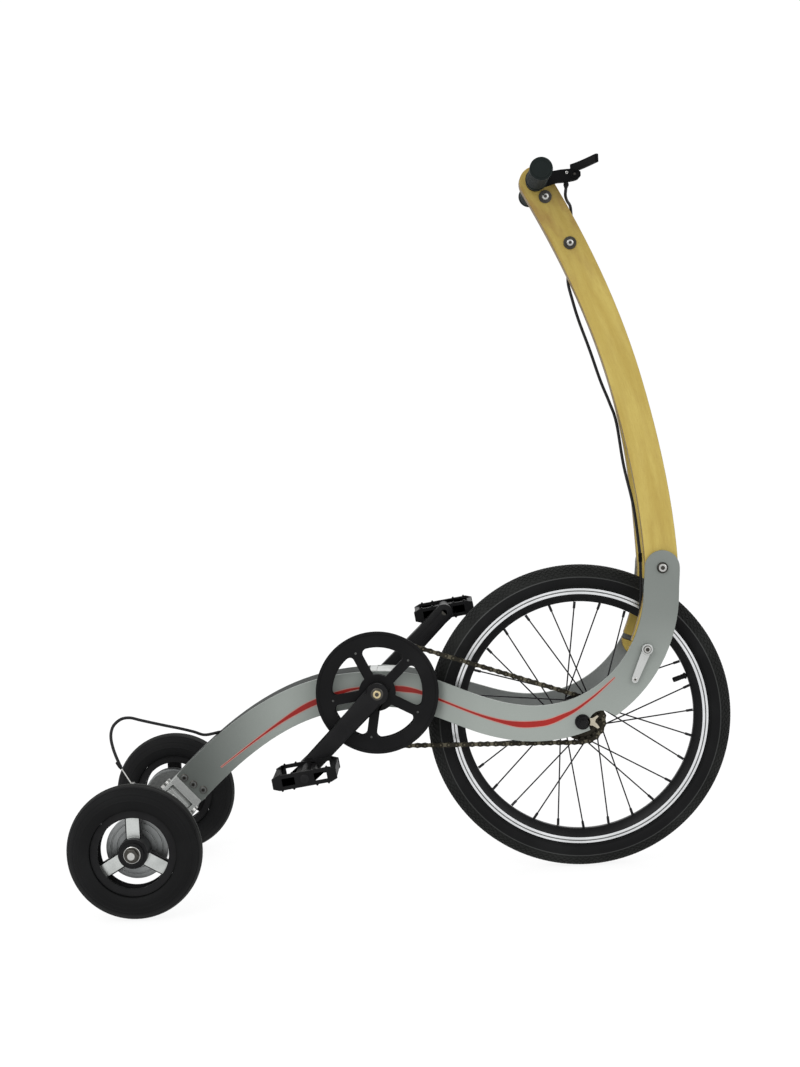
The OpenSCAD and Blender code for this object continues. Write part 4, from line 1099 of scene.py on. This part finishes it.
CABLE_R = 2.5
WIRE_R = 0.9
MAST_CABLE = [
    (12, -31, 868.8), (11, -29, 860), (10.5, -20, 850), (14, -5, 843), (19.5, 9, 837), (21.5, 18, 828),
    (22, 25, 812), (20, 27, 790), (18, 27, 764), (15, 23.5, 738), (12, 19, 714), (17, 13, 686), (26, 8, 650),
    (42, 4, 600), (57, 2, 550), (70, 0, 514), (80, -4, 480), (88, -15, 410), (100, -32, 340), (106, -45, 262)
]
FRAME_CABLE = [
    (106, -45, 258), (104, -46, 190), (94, -46, 110), (76, -53, 64), (46, -61, 40), (0, -62, 30),
    (-60, -62, 16), (-110, -62, 14), (-150, -58, 24), (-190, -46, 38), (-230, -32, 54), (-270, -22, 72),
    (-330, -14, 84)
]
TAIL_LOOP = [
    (91, -28, 248), (75, -46, 257), (56, -64, 266), (34, -82, 275), (13, -100, 284), (-1, -111, 290),
    (-15, -122, 296), (-27, -132, 296), (-37, -142, 289), (-41, -149, 279), (-41, -154, 268),
    (-38, -158, 255), (-33, -163, 242), (-25, -168, 224)
]
WIRE_END = (-7.5, -176, 198)
BEAM = (TAIL - along(45, 2), TAIL + along(45, 194), CRANK + Vector((-92, 0, 3)), CRANK + Vector((0, 0, 3)))


def in_beam(t, y, w):
    """A point inside the beam, a share of the way along it and off its middle line."""
    way = (cubic(BEAM, t + 0.001) - cubic(BEAM, t - 0.001)).normalized()
    return cubic(BEAM, t) + Vector((-w * way.z, y, w * way.x))


def cable(name, knots, node):
    """A round cable along a route from the part's source."""
    obj = tube(name, smooth_route(knots, 8), CABLE_R)
    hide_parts(node)
    coat(obj, cable_sleeve)
    alone(obj)
    bpy.ops.object.shade_smooth()
    return obj


def cables():
    """The brake cable in its three stretches, and the bare wire from its last ferrule to the brake arm."""
    upper = cable("cable_on_mast", [HUB + Vector(p) for p in MAST_CABLE], "brake_cable_mast")
    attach(upper, "mast")
    joiner = turned(
        "cable_joiner",
        [
            (0, -7), (2.9, -7), (3.2, -6.6), (3.2, -1), (3, -0.6), (3, 0.6), (3.2, 1), (3.2, 6.6), (2.9, 7),
            (0, 7)
        ],
        HUB + Vector((106, -45, 260)), Vector((0, 0, 1)), 24
    )
    finished(joiner, "mast", matt_black)
    out = in_beam(0.19, -13, 31)
    knots = [HUB + Vector(p) for p in FRAME_CABLE]
    knots += [in_beam(0.7, -10, 14), in_beam(0.5, -10, 10), in_beam(0.34, -11, 10), in_beam(0.25, -13, 17)]
    knots.append(out)
    lower = cable("cable_in_frame", knots, "brake_cable_frame")
    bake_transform(lower, "mast", "frame", knots[0] * MM, knots[2] * MM)
    floor_point = Vector((REAR.x, 0, 0))
    knots = [out + Vector((-0.5, -0.3, 0.1))] + [floor_point + Vector(p) for p in TAIL_LOOP]
    tail = cable("cable_to_brake", knots, "brake_cable_tail")
    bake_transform(tail, "frame", "truck", knots[1] * MM, knots[-2] * MM)
    end = knots[-1]
    hook = floor_point + Vector(WIRE_END)
    way = (hook - end).normalized()
    ferrule = turned(
        "ferrule",
        [(0, -12), (3.1, -12), (3.3, -11), (3.3, -2), (2.7, -1.4), (2.7, 1), (1, 1.4), (0, 1.4)], end, way, 24
    )
    coat(ferrule, black_metal)
    bare = tube("wire", [end, end.lerp(hook, 0.5), hook, hook + way * 3], WIRE_R)
    coat(bare, zinc_steel)
    finished(joined("brake_wire", [bare, ferrule]), "truck", None)


# Camera, light and floor


def stage():
    """White surroundings, a pale floor, soft lights and the photograph's camera."""
    scene = bpy.context.scene
    scene.view_settings.view_transform = "Standard"
    scene.world = bpy.data.worlds.new("studio")
    scene.world.use_nodes = True
    sky = scene.world.node_tree.nodes["Background"]
    sky.inputs["Color"].default_value = rgb(1, 1, 1)
    sky.inputs["Strength"].default_value = 1.02

    floor_paint = Finish(
        "floor_paint", Specular_IOR_Level=0.0, Emission_Color=rgb(1, 1, 1), Emission_Strength=0.88
    )
    cloud = floor_paint.noise(3, 2)
    floor_paint.feed("Base Color", floor_paint.mix(cloud, rgb(0.14, 0.14, 0.14), rgb(0.12, 0.12, 0.12)))
    floor_paint.feed("Roughness", 0.7 + 0.1 * (cloud - 0.5))
    bpy.ops.object.select_all(action="DESELECT")
    bpy.ops.mesh.primitive_plane_add(size=24)
    floor = bpy.context.object
    floor.name = "pale_floor"
    edit(floor)
    bpy.ops.mesh.subdivide(number_cuts=3)
    close()
    floor.data.materials.append(floor_paint.material)

    lamps = {
        "key_light": ((-2.2, -3.4, 3.4), 3.0, 90),
        "fill_light": ((3.0, -3.0, 2.2), 2.5, 35),
        "back_light": ((0.6, 3.2, 3.2), 2.5, 40),
    }
    for name, (spot, size, power) in lamps.items():
        lamp = bpy.data.lights.new(name, "AREA")
        lamp.size = size
        lamp.energy = power
        holder = bpy.data.objects.new(name, lamp)
        aim = Vector((0, 0, 0.5)) - Vector(spot)
        holder.rotation_euler = aim.to_track_quat("-Z", "Y").to_euler()
        holder.location = spot
        scene.collection.objects.link(holder)

    focal_pixels = 1823.33
    picture_height = 1067
    camera_spot = Vector((55.5, -3000, 740))
    pitch, yaw, roll = radians(3.364), radians(1.06), radians(-2.633)
    ahead = Vector((-sin(yaw) * cos(pitch), cos(yaw) * cos(pitch), -sin(pitch)))
    level = Vector((cos(yaw), sin(yaw), 0))
    up = level.cross(ahead)
    right = cos(roll) * level + sin(roll) * up
    top = -sin(roll) * level + cos(roll) * up
    turn = Matrix((right, top, -ahead)).transposed().to_4x4()
    data = bpy.data.cameras.new("camera")
    data.sensor_width = 36
    data.lens = focal_pixels * data.sensor_width / picture_height
    camera = bpy.data.objects.new("camera", data)
    camera.matrix_world = Matrix.Translation(camera_spot * MM) @ turn
    scene.collection.objects.link(camera)
    scene.camera = camera


stage()
cables()
side_plates()
front_axle()
mast_fixings()
truck()
rear_wheels()
front_tyre()
front_rim()
front_hub()
chain()
cranks()
legs()
handlebar()
brake_lever()
